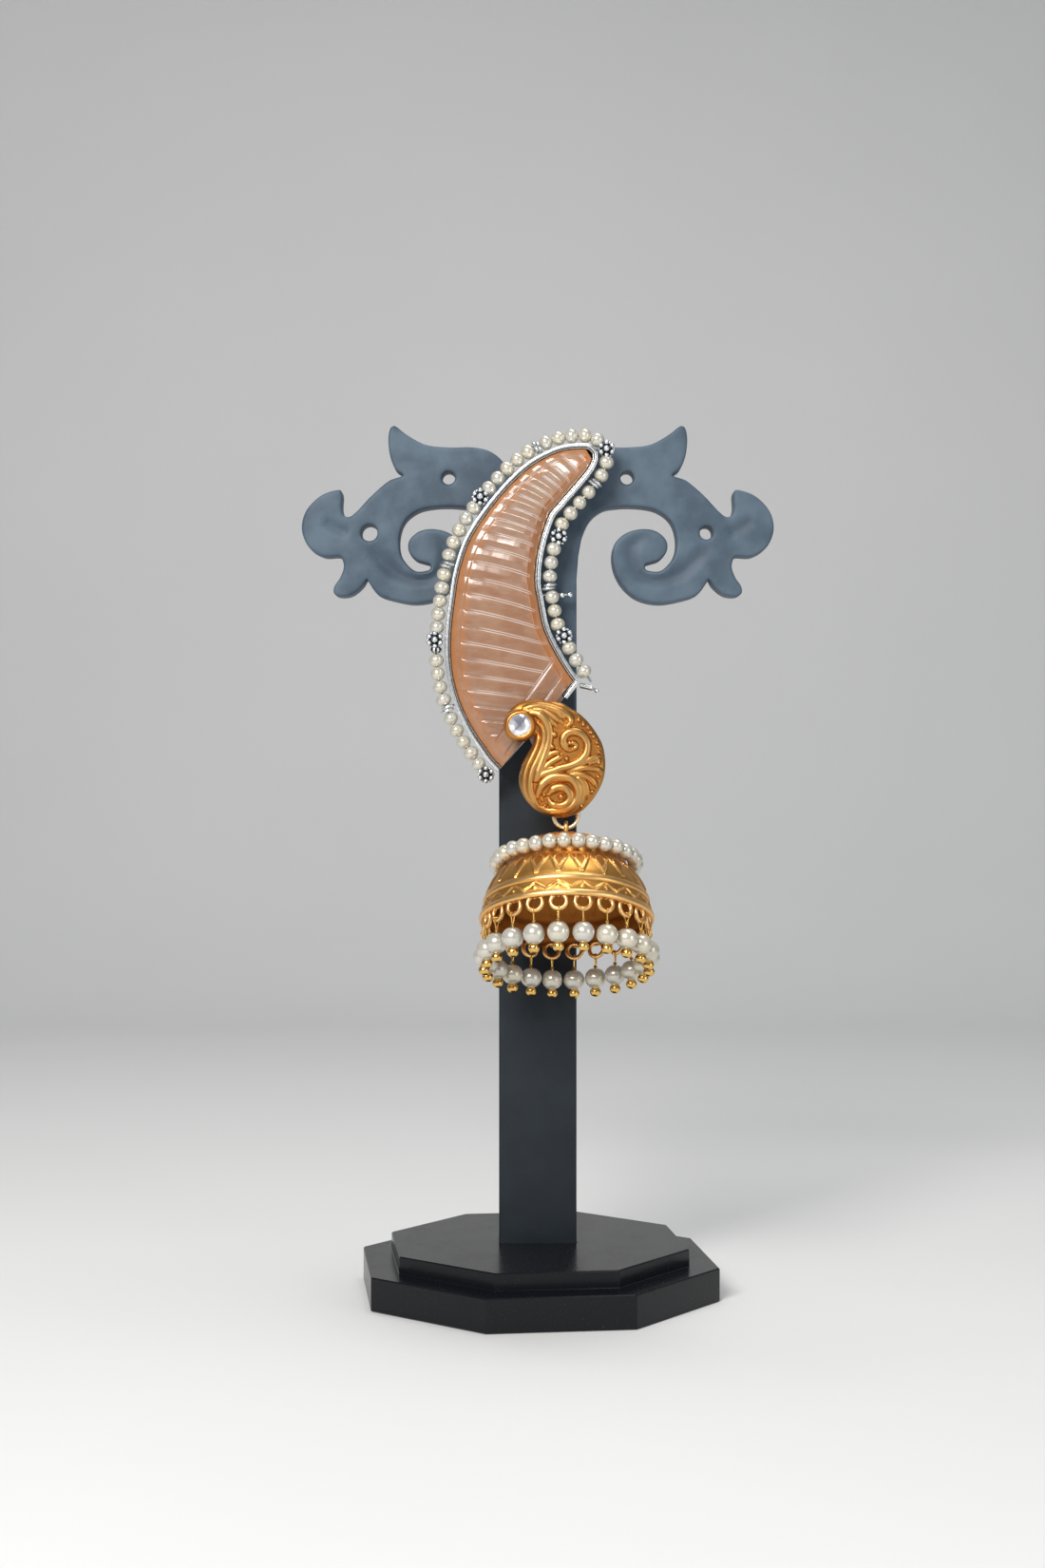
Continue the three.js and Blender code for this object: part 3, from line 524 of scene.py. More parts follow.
# %% Stone, pearl and crystal
def peach_stone():
    """Peach stone: the second paint turns it orange at its rim, the hollow paint draws pale lines along the
    edges of the cuts as painted highlight, and long streaks run along the ribs."""
    look = Finish("peach_stone", IOR=1.54, Roughness=0.12, Coat_Weight=0.35, Coat_Roughness=0.12,
                  Subsurface_Weight=0.55, Subsurface_Scale=0.0022, Subsurface_Radius=(1.0, 0.55, 0.32))
    # The hollow paint here is the painted highlight on the cuts' edges; the second paint is the orange rim.
    line, rim = look.paints()[:2]
    cloud = look.grain(0.22, 4.0, 0.55)
    fine = look.grain(1.6, 4.0, 0.65, stretch=(0.25, 1, 1))
    height = look.node("ShaderNodeSeparateXYZ", {}, {"Vector": look.place()}, 2)
    body = look.blend(cloud.between(0.3, 0.72), (0.3, 0.155, 0.088), (0.35, 0.205, 0.13))
    body = look.blend(height.between(122, 152) * 0.75, body, (0.36, 0.27, 0.205))
    body = look.blend(fine.between(0.45, 0.85) * 0.4, body, (0.44, 0.32, 0.25))
    body = look.blend(rim, body, (0.42, 0.165, 0.05))
    return look.feed(
        Base_Color=look.blend(line * 0.8, body, (0.9, 0.8, 0.76)),
        Roughness=0.16 + line * 0.3 + fine * 0.1,
        Normal=look.bumps(fine, 0.02, 0.5))


def seed_pearl():
    """Pearl: cream, rose or grey by the chance paint, faint growth clouds, a clear coat over a soft body."""
    look = Finish("seed_pearl", IOR=1.6, Metallic=0.4, Coat_Weight=0.8, Coat_Roughness=0.12)
    hollow, unused, pick = look.paints()
    growth = look.grain(0.9, 4.0, 0.6)
    body = look.blend(pick, (0.6, 0.575, 0.51), (0.66, 0.605, 0.47))
    body = look.blend(growth.between(0.45, 0.75) * 0.18, body, (0.5, 0.485, 0.45))
    return look.feed(
        Base_Color=look.blend(hollow, body, (0.3, 0.24, 0.17)),
        Roughness=0.2 + growth * 0.1,
        Normal=look.bumps(growth, 0.005, 0.4))


def clear_crystal():
    """Cut stone: every facet mirrors its surroundings, and the hollow paint darkens some facets and the
    middle of the table as painted dark reflection, standing for facets that look into the stone."""
    look = Finish("crystal", IOR=2.1, Metallic=0.55, Coat_Weight=1.0, Coat_Roughness=0.0)
    haze = look.grain(2.0, 3.0, 0.6)
    painted_dark_facets = look.paints()[0]
    return look.feed(
        Base_Color=look.blend(painted_dark_facets, (0.97, 0.97, 1.0), (0.2, 0.2, 0.3)),
        Roughness=0.01 + haze * 0.05)


FOOT_LOOK = black_gloss()
ARM_LOOK = smoke_plastic()
SILVER_LOOK = aged_silver()
# Painted dark reflection: the paisley's gold is painted darker than the bell's, for the dark surroundings its
# front reflects.
PAISLEY_GOLD_PAINTED_DARK = gold("antique_gold", (0.6, 0.33, 0.11), (0.56, 0.25, 0.056), (0.24, 0.08, 0.016), 0.3)
BELL_GOLD = gold("bell_gold", (0.96, 0.6, 0.24), (0.79, 0.395, 0.095), (0.36, 0.13, 0.024), 0.28)
# Painted highlight: the jump ring's gold is painted pale, so the thin wire shows bright instead of the dark
# it reflects.
RING_GOLD_PAINTED_PALE = gold("pale_gold_painted_highlight", (1.0, 0.9, 0.72), (0.92, 0.78, 0.56), (0.4, 0.25, 0.12), 0.4)
BALL_GOLD = gold("ball_gold", (0.95, 0.66, 0.25), (0.8, 0.5, 0.15), (0.2, 0.09, 0.03), 0.14)
STONE_LOOK = peach_stone()
PEARL_LOOK = seed_pearl()
CRYSTAL_LOOK = clear_crystal()
print("finishes:", [material.name for material in bpy.data.materials if material.use_nodes][-10:])

# %% [markdown]
# ## The foot of the stand
# Two octagonal slabs of acrylic are glued on each other, and the post stands in a slot in the upper one.
# A cylinder with eight sides would have knife edges, so the foot is a skin over octagons with slightly
# rounded corners, one ring for every edge of its profile.

# %% Foot
SIDES = 8
FOOT_TURN = np.radians(7)
CORNER_STEPS = 7
foot_high = box_mm("stand_base")[1]
post_low, post_high = box_mm("stand_post_and_arms")
LOWER_FLATS, UPPER_FLATS = 61.0, 51.0
LOWER_TOP, FOOT_TOP = 5.9, foot_high[2]
POST_WIDTH, POST_THICKNESS = 13.8, post_high[1] - post_low[1]
SLOT_GAP, SLOT_DEPTH = 0.3, 4.0
EDGE = 0.22


def octagon(flats, height, rounding):
    """Octagon with rounded corners: each corner is an arc whose centre lies inside it by the rounding."""
    corner = FOOT_TURN + np.pi / SIDES + 2 * np.pi * np.arange(SIDES)[:, None] / SIDES
    turn = corner + np.linspace(-np.pi / SIDES, np.pi / SIDES, CORNER_STEPS)
    centre = (flats / 2 - rounding) / np.cos(np.pi / SIDES)
    x = centre * np.cos(corner) + rounding * np.cos(turn)
    y = centre * np.sin(corner) + rounding * np.sin(turn)
    return np.stack([x.ravel(), y.ravel(), np.full(x.size, height)], axis=1)


def slot_outline(directions, half_width, half_depth, height):
    """Rectangle met by rays in the given directions, so that it has as many points as the octagon."""
    reach = 1 / np.maximum(np.abs(directions[:, 0]) / half_width, np.abs(directions[:, 1]) / half_depth)
    return np.column_stack([directions * reach[:, None], np.full(len(directions), height)])


def foot_skin():
    """Rings from the middle of the bottom, up the two walls with their small bevels, and down the slot."""
    rings = [octagon(flats, height, rounding) for flats, height, rounding in [
        (LOWER_FLATS - 2 * EDGE, 0, 0.4), (LOWER_FLATS, EDGE, 0.5), (LOWER_FLATS, LOWER_TOP - EDGE, 0.5),
        (LOWER_FLATS - 2 * EDGE, LOWER_TOP, 0.4), (UPPER_FLATS + 0.2, LOWER_TOP, 0.4),
        (UPPER_FLATS, LOWER_TOP + 0.1, 0.4), (UPPER_FLATS, FOOT_TOP - EDGE, 0.4),
        (UPPER_FLATS - 2 * EDGE, FOOT_TOP, 0.3)]]
    rays = unit(rings[0][:, :2])
    half = (POST_WIDTH / 2 + SLOT_GAP, POST_THICKNESS / 2 + SLOT_GAP)
    rings += [slot_outline(rays, *half, FOOT_TOP), slot_outline(rays, *half, FOOT_TOP - SLOT_DEPTH)]
    return skin_over(rings)


make_piece("foot", foot_skin(), FOOT_LOOK, "stand_and_wing", ["stand_base"], crease=20)

# %% [markdown]
# ## The post and its scrolled arms
# One flat plate is cut to an outline with lobes, notches and an inward scroll on each side. Half of the
# outline is a short table of shares of the span and of the arms' height, with its sharp corners marked.
# The plate's walls are rings of that outline, drawn in at both faces. The faces themselves are triangulated
# over a lattice of points, so that the front can dip where the mould leaves its soft channels.

# %% Outline of the arms
# Columns: x as a share of half the span, z as a share of the arms' height, and 1 for a sharp corner.
ARM_OUTLINE = np.array([
    (0, .7, 1), (.06, .71, 0), (.11, .745, 0), (.14, .787, 0), (.175, .832, 0), (.215, .862, 0),
    (.275, .878, 0), (.382, .878, 0), (.478, .894, 0), (.554, .947, 0), (.607, .997, 0), (.622, .99, 0),
    (.633, .936, 0), (.625, .824, 0), (.6, .75, 0), (.572, .721, 0), (.604, .704, 0), (.629, .691, 0),
    (.705, .606, 0), (.769, .516, 0), (.797, .489, 0), (.818, .493, 0), (.83, .53, 0), (.829, .615, 0),
    (.836, .637, 0), (.853, .638, 0), (.92, .606, 0), (.984, .516, 0), (1, .415, 0), (.968, .314, 0),
    (.908, .266, 0), (.845, .266, 0), (.83, .258, 1), (.822, .21, 0), (.837, .149, 0), (.863, .095, 0),
    (.864, .06, 0), (.845, .043, 0), (.793, .048, 0), (.745, .096, 0), (.725, .138, 1), (.677, .053, 0),
    (.598, .016, 0), (.506, 0, 0), (.414, .032, 0), (.347, .117, 0), (.315, .229, 0), (.323, .33, 0),
    (.371, .394, 0), (.446, .42, 0), (.506, .404, 0), (.546, .351, 0), (.546, .293, 0), (.514, .245, 0),
    (.478, .229, 0), (.457, .218, 0), (.457, .195, 0), (.478, .184, 0), (.522, .186, 0), (.578, .271, 0),
    (.586, .372, 0), (.562, .463, 0), (.506, .521, 0), (.43, .543, 0), (.339, .543, 0), (.275, .527, 0),
    (.223, .473, 0), (.19, .383, 0), (.172, .27, 0)])
# x and z as above, and the radius in millimetres, for the left and the right side.
ARM_HOLES = np.array([(-.714, .398, 1.45), (-.378, .706, 1.15), (.378, .706, 1.15), (.714, .398, 1.15)])
HALF_SPAN = post_high[0]
ARM_TOP = post_high[2]
ARM_HEIGHT = 31.75
ARM_BOTTOM = ARM_TOP - ARM_HEIGHT


def on_arms(shares):
    """Shares of the span and of the arms' height as millimetres of x and z."""
    return np.column_stack([shares[:, 0] * HALF_SPAN, ARM_BOTTOM + shares[:, 1] * ARM_HEIGHT])


def stand_outline():
    """The right half from the notch to the post's foot, then the same points mirrored back."""
    half = cornered_line(on_arms(ARM_OUTLINE), ARM_OUTLINE[:, 2] > 0, 6)
    post = np.array([[POST_WIDTH / 2, ARM_BOTTOM + 0.14 * ARM_HEIGHT], [POST_WIDTH / 2, post_low[2]]])
    half = np.concatenate([half, post])
    return np.concatenate([half, half[:0:-1] * (-1, 1)])


def evenly_closed(line, step):
    """A closed line with its points close to one step apart, and its own corners kept."""
    ends = np.roll(line, -1, axis=0)
    counts = np.maximum(1, np.round(np.linalg.norm(ends - line, axis=1) / step)).astype(int)
    first = np.repeat(np.arange(len(line)), counts)
    share = (np.arange(counts.sum()) - np.repeat(np.cumsum(counts) - counts, counts)) / counts[first]
    return line[first] + share[:, None] * (ends - line)[first]


# %% Plate from the outline
PLATE_EDGE = 0.55
LATTICE_STEP = 0.62
# A channel runs out over this distance, in millimetres, before it reaches a rim.
CHANNEL_STOP = 0.8
# Soft channels that the mould leaves on the front: half their width, their depth, and their line.
CHANNELS = [
    (2.1, .55, [(.47, .387), (.417, .356), (.393, .32), (.399, .223), (.446, .16), (.524, .144), (.601, .175),
                (.654, .238), (.702, .293), (.745, .312)]),
    (1.7, .45, [(.8, .395), (.85, .423), (.91, .475)])]


def filled(rims, inside):
    """Flat triangles within an outline and outside its holes, through the given points in between: the
    triangulation that keeps every rim as edges."""
    counts = [len(rim) for rim in rims]
    first = np.repeat(np.cumsum([0] + counts[:-1]), counts)
    here = np.arange(sum(counts))
    size = np.repeat(counts, counts)
    edges = np.stack([here, first + (here - first + 1) % size], axis=1)
    places = np.concatenate([*rims, inside])
    made = delaunay_2d_cdt([Vector(place) for place in places.tolist()], edges.tolist(), [], 1, 1e-5)
    flat, faces = np.array([tuple(place) for place in made[0]]), np.array(made[2], int).reshape(-1, 3)
    return flat, faces[is_within(rims, flat[faces].mean(axis=1))]


def crossings(rim, places):
    """How often a ray to the right of each place crosses a closed line."""
    count = np.zeros(len(places), int)
    for (x0, z0), (x1, z1) in zip(rim, np.roll(rim, -1, axis=0)):
        between = (z0 > places[:, 1]) != (z1 > places[:, 1])
        at = x0 + (places[:, 1] - z0) * (x1 - x0) / np.where(z1 == z0, 1e-12, z1 - z0)
        count += between & (at > places[:, 0])
    return count


def is_within(rims, places):
    """True where a ray from the place crosses the outline and the holes an odd number of times."""
    return sum(crossings(rim, places) for rim in rims) % 2 == 1


def rim_distance(rims, places):
    """Distance from each place to the nearest of the rims."""
    return np.min([nearest_on(np.concatenate([rim, rim[:1]]), places)[0] for rim in rims], axis=0)


def lattice(rims, low, high, step):
    """Points of a triangular lattice that lie in the plate and not too near its rims."""
    x, z = np.meshgrid(np.arange(low[0], high[0], step), np.arange(low[1], high[1], step * 0.866))
    x = x + (np.arange(len(x)) % 2)[:, None] * step / 2
    places = np.column_stack([x.ravel(), z.ravel()])
    places = places[is_within(rims, places)]
    return places[rim_distance(rims, places) > 0.4 * step]


def channel_depth(places):
    """Depth of the mould's channels: half a cosine across each, the same on both arms."""
    depth = np.zeros(len(places))
    mirrored = np.column_stack([np.abs(places[:, 0]), places[:, 1]])
    for half_width, deepest, line in CHANNELS:
        distance, share = nearest_on(smooth_line(on_arms(np.array(line)), 5), mirrored)
        ends = np.clip(np.minimum(share, 1 - share) * 7, 0, 1)
        across = (1 + np.cos(np.pi * np.clip(distance / half_width, 0, 1))) / 2
        depth = np.maximum(depth, deepest * ends * across)
    return depth


def inward_reach(rim):
    """How far each point of a rim may move into the plate, up to its edge radius: the largest of ten
    steps that leaves it no nearer to any other part of the rim, so that narrow tips don't cross over."""
    closed, reach = np.concatenate([rim, rim[:1]]), np.zeros(len(rim))
    free = np.ones(len(rim), bool)
    for amount in PLATE_EDGE * np.linspace(0.1, 1, 10):
        distance = nearest_on(closed, moved_sideways(rim, -amount, True))[0]
        free = free & (distance > 0.985 * amount)
        reach = np.where(free, amount, reach)
    return np.where(reach < PLATE_EDGE, 0.85 * reach, reach)


def stand_top():
    """Walls with a quarter-round at both faces round every rim, a flat back, and the front with its
    channels over a lattice of points."""
    rims = [evenly_closed(stand_outline(), 0.45)]
    rims += [on_arms(ARM_HOLES)[k] + circle(ARM_HOLES[k, 2], 36) for k in range(len(ARM_HOLES))]
    turn = np.linspace(0, np.pi / 2, 5)
    inward = np.concatenate([1 - np.cos(turn[::-1]), 1 - np.cos(turn)])
    depths = np.concatenate([-POST_THICKNESS / 2 + PLATE_EDGE * (1 - np.sin(turn[::-1])),
                             POST_THICKNESS / 2 - PLATE_EDGE * (1 - np.sin(turn))])
    walls, inner = [], []
    for rim in rims:
        inwards = (rim - moved_sideways(rim, 1, True)) * inward_reach(rim)[:, None]
        inner.append(rim + inwards)
        rows = np.stack([upright(rim + share * inwards, depth) for share, depth in zip(inward, depths)])
        faces = ring_faces(len(rows), len(rim), False, True)
        walls.append(Skin(rows.reshape(-1, 3), faces, np.zeros((0, 3), int), np.zeros((rows.size // 3, 3))))
    inside = lattice(inner, (-HALF_SPAN, ARM_BOTTOM), (HALF_SPAN, ARM_TOP), LATTICE_STEP)
    flat, faces = filled(inner, inside)
    none = np.zeros((0, 4), int)
    depth = channel_depth(flat) * np.clip(rim_distance(inner, flat) / CHANNEL_STOP, 0, 1)
    # The channels' depth also goes into the hollow paint, which the plastic shows as painted shade.
    paint = np.column_stack([depth, 0 * depth, 0 * depth])
    front = Skin(upright(flat, depth - POST_THICKNESS / 2), none, faces, paint)
    back, back_faces = filled(inner, np.zeros((0, 2)))
    back = Skin(upright(back, POST_THICKNESS / 2), none, back_faces[:, ::-1], np.zeros((len(back), 3)))
    return outward(joined(*walls, front, back))


make_piece("post_and_arms", stand_top(), ARM_LOOK, "stand_and_wing",
           ["stand_post_and_arms"], crease=35, weld=0.001)

# %% [markdown]
# ## The silver setting of the wing
# A strip of silver stands on edge round the stone and is soldered to a plate behind it, as every bezel is.
# The strip is one flat section carried along the wing's outline, with a fine groove beside its inner
# edge that is left black. The outline is a table of shares of the wing's width and height.

# %% Outline of the wing
WING_WIDTH, WING_HEIGHT = 25.8, 56.6
WING_CORNER = np.array([-15.8, 92.9])
BEZEL_OUTER = np.array([
    (.35, .002), (.292, .03), (.225, .073), (.163, .115), (.117, .153), (.07, .2), (.039, .242),
    (.013, .294), (0, .355), (0, .407), (.01, .468), (.029, .533), (.046, .586), (.075, .642),
    (.122, .703), (.184, .755), (.256, .802), (.35, .856), (.453, .906), (.556, .946), (.66, .974),
    (.763, .993), (.866, 1), (.955, .998), (1, .98)])
BEZEL_INNER = np.array([
    (.997, .955), (.964, .925), (.898, .887), (.825, .849), (.763, .816), (.711, .788), (.675, .746),
    (.649, .708), (.626, .661), (.613, .609), (.613, .567), (.628, .533), (.644, .492), (.67, .44),
    (.721, .388), (.773, .346), (.825, .308), (.877, .275)])
BEZEL_RETURN = np.array([(.835, .25), (.794, .226)])
BEZEL_WALL = 1.0


def on_wing(shares):
    """Shares of the wing's width and height as millimetres of x and z."""
    return WING_CORNER + np.asarray(shares) * (WING_WIDTH, WING_HEIGHT)


outer_line = smooth_line(on_wing(BEZEL_OUTER), 10)
inner_line = smooth_line(on_wing(np.concatenate([BEZEL_OUTER[-1:], BEZEL_INNER])), 10)
return_line = smooth_line(on_wing(np.concatenate([BEZEL_INNER[-1:], BEZEL_RETURN])), 6)
bezel_line = np.concatenate([outer_line, inner_line[1:], return_line[1:]])
rim_line = np.concatenate([outer_line, inner_line[1:]])
print("bezel strip is", round(lengths_along(bezel_line)[-1], 1), "mm long")

# %% [markdown]
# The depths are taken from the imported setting: its back lies on the plate, its front is the strip's edge.

# %% Bezel strip, plate, tongue and pin
setting_low, setting_high = box_mm("wing_setting")
BEZEL_FRONT = setting_low[1]
BEZEL_DEPTH, BACKPLATE = 3.8, 0.8
PLATE_FRONT = BEZEL_FRONT + BEZEL_DEPTH
PLATE_BACK = PLATE_FRONT + BACKPLATE
PIN_RADIUS, PIN_END = 0.45, setting_high[1]
PIN_HEIGHT = ARM_BOTTOM + 0.7 * ARM_HEIGHT + SLOT_GAP + PIN_RADIUS
PAISLEY_CORNER, PAISLEY_SIZE = np.array([-5.75, 84.65]), np.array([17.3, 20.45])
BOSS_RADIUS = 1.6
BOSS_PLACE = PAISLEY_CORNER + np.array([0.56, 0.46]) * PAISLEY_SIZE
# Sideways towards the stone, towards the viewer from the plate's back, and the hollow paint.
STRIP_SECTION = np.array([
    (-.5, 0, .3), (-.5, 1.5, .2), (-.5, 3.6, .3), (-.48, 4.38, .1), (-.42, 4.52, 0), (-.32, 4.59, 0),
    (-.1, 4.6, 0), (.06, 4.6, .05), (.12, 4.56, .6), (.16, 4.36, 1), (.2, 4.36, 1), (.24, 4.5, .5),
    (.3, 4.56, 0), (.4, 4.55, 0), (.47, 4.47, .2), (.5, 4.3, .9), (.5, 2, 1), (.5, .4, .9),
    (.5, 0, .3)])


def strip_skin():
    """The strip's section carried along the outline, with its own paint on every section point."""
    paint = np.zeros((1, len(STRIP_SECTION), 3))
    paint[0, :, 0] = STRIP_SECTION[:, 2]
    line = upright(bezel_line, PLATE_BACK)
    return swept(line, STRIP_SECTION[:, :2], np.array([0.0, -1.0, 0.0]), paint=paint)


def plate_skin():
    """Rungs between the outer line and the inner line, with a back and a front edge on each side."""
    inner = np.concatenate([inner_line[1:], return_line[1:]])[::-1]
    left, right = evenly(outer_line, 160), evenly(inner, 160)
    rows = np.stack([upright(left, PLATE_BACK), upright(right, PLATE_BACK),
                     upright(right, PLATE_FRONT), upright(left, PLATE_FRONT)], axis=1)
    return skin_over(rows, paint=(0.3, 0, 0))


def slab(outline, back, front, rounded, paint=(0, 0, 0)):
    """Flat piece with a convex outline: rings drawn in by the rounding at both of its edges."""
    middle = outline.mean(axis=0)
    drawn_in = middle + (outline - middle) * (1 - rounded / np.linalg.norm(outline - middle, axis=1).mean())
    rows = [upright(drawn_in, back), upright(outline, back - rounded), upright(outline, front + rounded),
            upright(drawn_in, front)]
    return skin_over(rows, paint=paint)


def stadium(start, end, radius, steps=24):
    """Outline round two points: half a circle about each."""
    along = unit(end - start)
    heading = np.arctan2(along[1], along[0])
    first = heading + np.linspace(0.5, 1.5, steps) * np.pi
    second = heading + np.linspace(-0.5, 0.5, steps) * np.pi
    arc = lambda centre, angle: centre + radius * np.stack([np.cos(angle), np.sin(angle)], axis=1)
    return np.concatenate([arc(start, first), arc(end, second)])


def setting_skin():
    """Strip, plate, the tongue that carries the paisley, and the pin that rests in the stand's notch."""
    tongue_start = on_wing([0.64, 0.148])
    pin_depths = [PLATE_FRONT + 0.2, -1, 2, PIN_END - 0.3, PIN_END - 0.08, PIN_END]
    pin = np.array([[0, depth, PIN_HEIGHT] for depth in pin_depths])
    return joined(
        strip_skin(), plate_skin(),
        slab(stadium(tongue_start, BOSS_PLACE, 2 * BOSS_RADIUS), PLATE_BACK, PLATE_FRONT, 0.12, (0.3, 0, 0)),
        wire(pin, PIN_RADIUS, 16, up=(0, 0, 1), sizes=np.array([1, 1, 1, 1, 0.75, 0.2]), paint=(0.1, 0, 0)))


make_piece("silver_setting", setting_skin(), SILVER_LOOK, "stand_and_wing", ["wing_setting"])

# %% [markdown]
# ## The carved stone
# The stone is a crescent dome. A cutter's wheel has left fine double lines across it, from the upper left
# down to the right, and a diagonal cut parts a small fan at its lower end. A displacement image would
# blur these, so the height is a sum of named parts: the dome, one arch between each pair of cuts, a
# channel at each cut, and a bevelled rim on both sides. The double lines are painted pale along both
# edges of each channel, as painted highlight.

# %% Stone
STONE_GAP = 0.1
STONE_CROWN = 1.4
RUNG_SLANT = 1.5
# Where the cuts end: share of the outer edge per cut, and cuts against the share of the inner edge.
FIRST_CUT, CUT_PITCH, CUT_BEND = 0.148, 0.041, 0.12
INNER_CUTS = [
    (-.25, 0), (.045, 4), (.19, 6), (.327, 8), (.465, 10), (.584, 12), (.686, 14), (.777, 16), (.868, 18),
    (1, 20.7)]
ALONG_STEPS, ACROSS_STEPS = 760, 104
CHANNEL_HALF = 0.19
LINE_WIDTH = 0.055
DIAGONAL = on_wing([(.282, .06), (.706, .332)])
FAN_PITCH = 2.7


def interpolated(value, stops):
    """Straight interpolation through stops of (place, height)."""
    stops = np.array(stops)
    return np.interp(value, stops[:, 0], stops[:, 1])


def bump_shape(value, low, high, soft):
    """1 between low and high, falling off smoothly over the soft distance outside them."""
    rise = np.clip((value - low + soft) / soft, 0, 1) * np.clip((high + soft - value) / soft, 0, 1)
    return rise * rise * (3 - 2 * rise)


def cut_distance(phase, pitch):
    """Distance in millimetres to the nearest cut, where the phase grows by one from cut to cut."""
    return np.abs(phase - np.round(phase)) * pitch


def stone_skin():
    """Rungs from the outer rim to the inner rim, with the relief worked out on the whole grid."""
    inset = BEZEL_WALL / 2 + STONE_GAP
    outer = evenly(moved_sideways(outer_line[:-12], -inset), ALONG_STEPS)
    inner_run = np.concatenate([inner_line[1:], return_line[1:4]])
    inner = moved_sideways(inner_run[8:], -inset)[::-1]
    share = np.linspace(0, 1, ALONG_STEPS)
    inner = places_on(inner, share ** RUNG_SLANT * lengths_along(inner)[-1])
    across = np.linspace(0, 1, ACROSS_STEPS)
    across = 0.65 * across + 0.35 * (1 - np.cos(np.pi * across)) / 2
    place = outer[:, None] * (1 - across)[None, :, None] + inner[:, None] * across[None, :, None]
    width = np.linalg.norm(inner - outer, axis=1)[:, None]
    t = np.broadcast_to(across, place.shape[:2])
    s = np.broadcast_to(share[:, None], place.shape[:2])
    fade = np.minimum(1, width / (WING_WIDTH / 3))
    from_left, from_right = t * width, (1 - t) * width

    flat_dome = interpolated(t, [
        (0, 0), (.04, .38), (.08, .6), (.14, .72), (.3, .86), (.5, .97), (.65, 1), (.8, .9), (.92, .55),
        (1, 0)])
    tall_dome = interpolated(t, [
        (0, 0), (.06, .25), (.12, .38), (.35, .55), (.6, .9), (.7, 1), (.8, .95), (.9, .65), (1, 0)])
    upper = bump_shape(s, 0.72, 9, 0.25)
    dome = STONE_CROWN * fade * (flat_dome * (1 - upper) + tall_dome * upper)
    pitch = lengths_along(outer)[-1] * CUT_PITCH
    ribs = (1 - t) * (s - FIRST_CUT) / CUT_PITCH + t * interpolated(s ** RUNG_SLANT, INNER_CUTS)
    ribs = ribs - CUT_BEND * 4 * t * (1 - t)
    normal = np.array([DIAGONAL[0][1] - DIAGONAL[1][1], DIAGONAL[1][0] - DIAGONAL[0][0]])
    beyond = (place - DIAGONAL[0]) @ (-unit(normal))
    in_fan = beyond > 0
    phase = np.where(in_fan, beyond / FAN_PITCH, ribs)
    step = np.where(in_fan, FAN_PITCH, pitch)
    cut = cut_distance(phase, step)
    cut = np.minimum(cut, np.abs(beyond) + 100 * (s > 0.3))
    facet = np.clip(2 * cut / step, 0, 1)
    arch = (1 - (1 - facet) ** 2) * (1 - upper) + facet * upper
    swell = 0.1 + 0.3 * np.clip((s - 0.4) / 0.4, 0, 1)
    field = bump_shape(from_left, 2.6, 99, 1.2) * bump_shape(from_right, 1.5, 99, 0.8)
    channel = bump_shape(cut, -1, CHANNEL_HALF, 0.07)
    relief = swell * fade * arch * (0.45 + 0.55 * field) - 0.11 * channel * field
    rim_step = 0.16 * bump_shape(from_right, -1, 1.25, 0.2) + 0.12 * bump_shape(from_left, -1, 1.5, 0.3)
    height = dome + relief * fade - rim_step * fade

    # Painted highlight: pale lines along both edges of each cut's channel, where the edges catch the light.
    line = np.exp(-((cut - CHANNEL_HALF) / LINE_WIDTH) ** 2)
    drawn = bump_shape(t, 0.3 + 0.08 * np.sin(ribs.round() * 2.3), 0.87, 0.12)
    drawn = drawn * bump_shape(from_right, 1.3, 99, 0.5) * bump_shape(s, 0.2, 9, 0.1)
    orange = np.clip(0.75 * bump_shape(from_right, -1, 1.1, 1.3) + 0.75 * bump_shape(from_left, -1, 0.6, 0.8)
                     + 0.45 * bump_shape(from_left, 1.7, 2.2, 0.6), 0, 1)
    tint = chance(28, 3)[np.floor(np.clip(ribs + 4, 0, 27)).astype(int)]
    paint = np.stack([line * drawn, orange, tint], axis=-1)

    front = np.stack([place[..., 0], BEZEL_FRONT + 0.25 - height, place[..., 1]], axis=-1)
    wall = lambda line, depth: upright(line, depth)[:, None]
    back = PLATE_FRONT - 0.05
    rows = np.concatenate([front, wall(inner, back), wall(outer, back)], axis=1)
    rim = np.zeros((ALONG_STEPS, 2, 3))
    rim[..., 1] = 1
    return skin_over(rows, paint=np.concatenate([paint, rim], axis=1))


make_piece("peach_wing", stone_skin(), STONE_LOOK, "stand_and_wing", ["wing_stone"], crease=70)

# %% [markdown]
# ## The string of seed pearls
# Pearls, granulated silver beads and turns of wire are threaded on one silver wire that runs just outside
# the bezel, and the wire turns tie it to the strip. The table says what is threaded, in order. Each bead
# is one turned shape, copied to its place on the wire with its axis along it.

# %% What is threaded, and where
SEED_PEARL = 2.5
STRING_AWAY = BEZEL_WALL / 2 + 0.3 + SEED_PEARL / 2
STRING_DEPTH = BEZEL_FRONT + 0.8 * SEED_PEARL
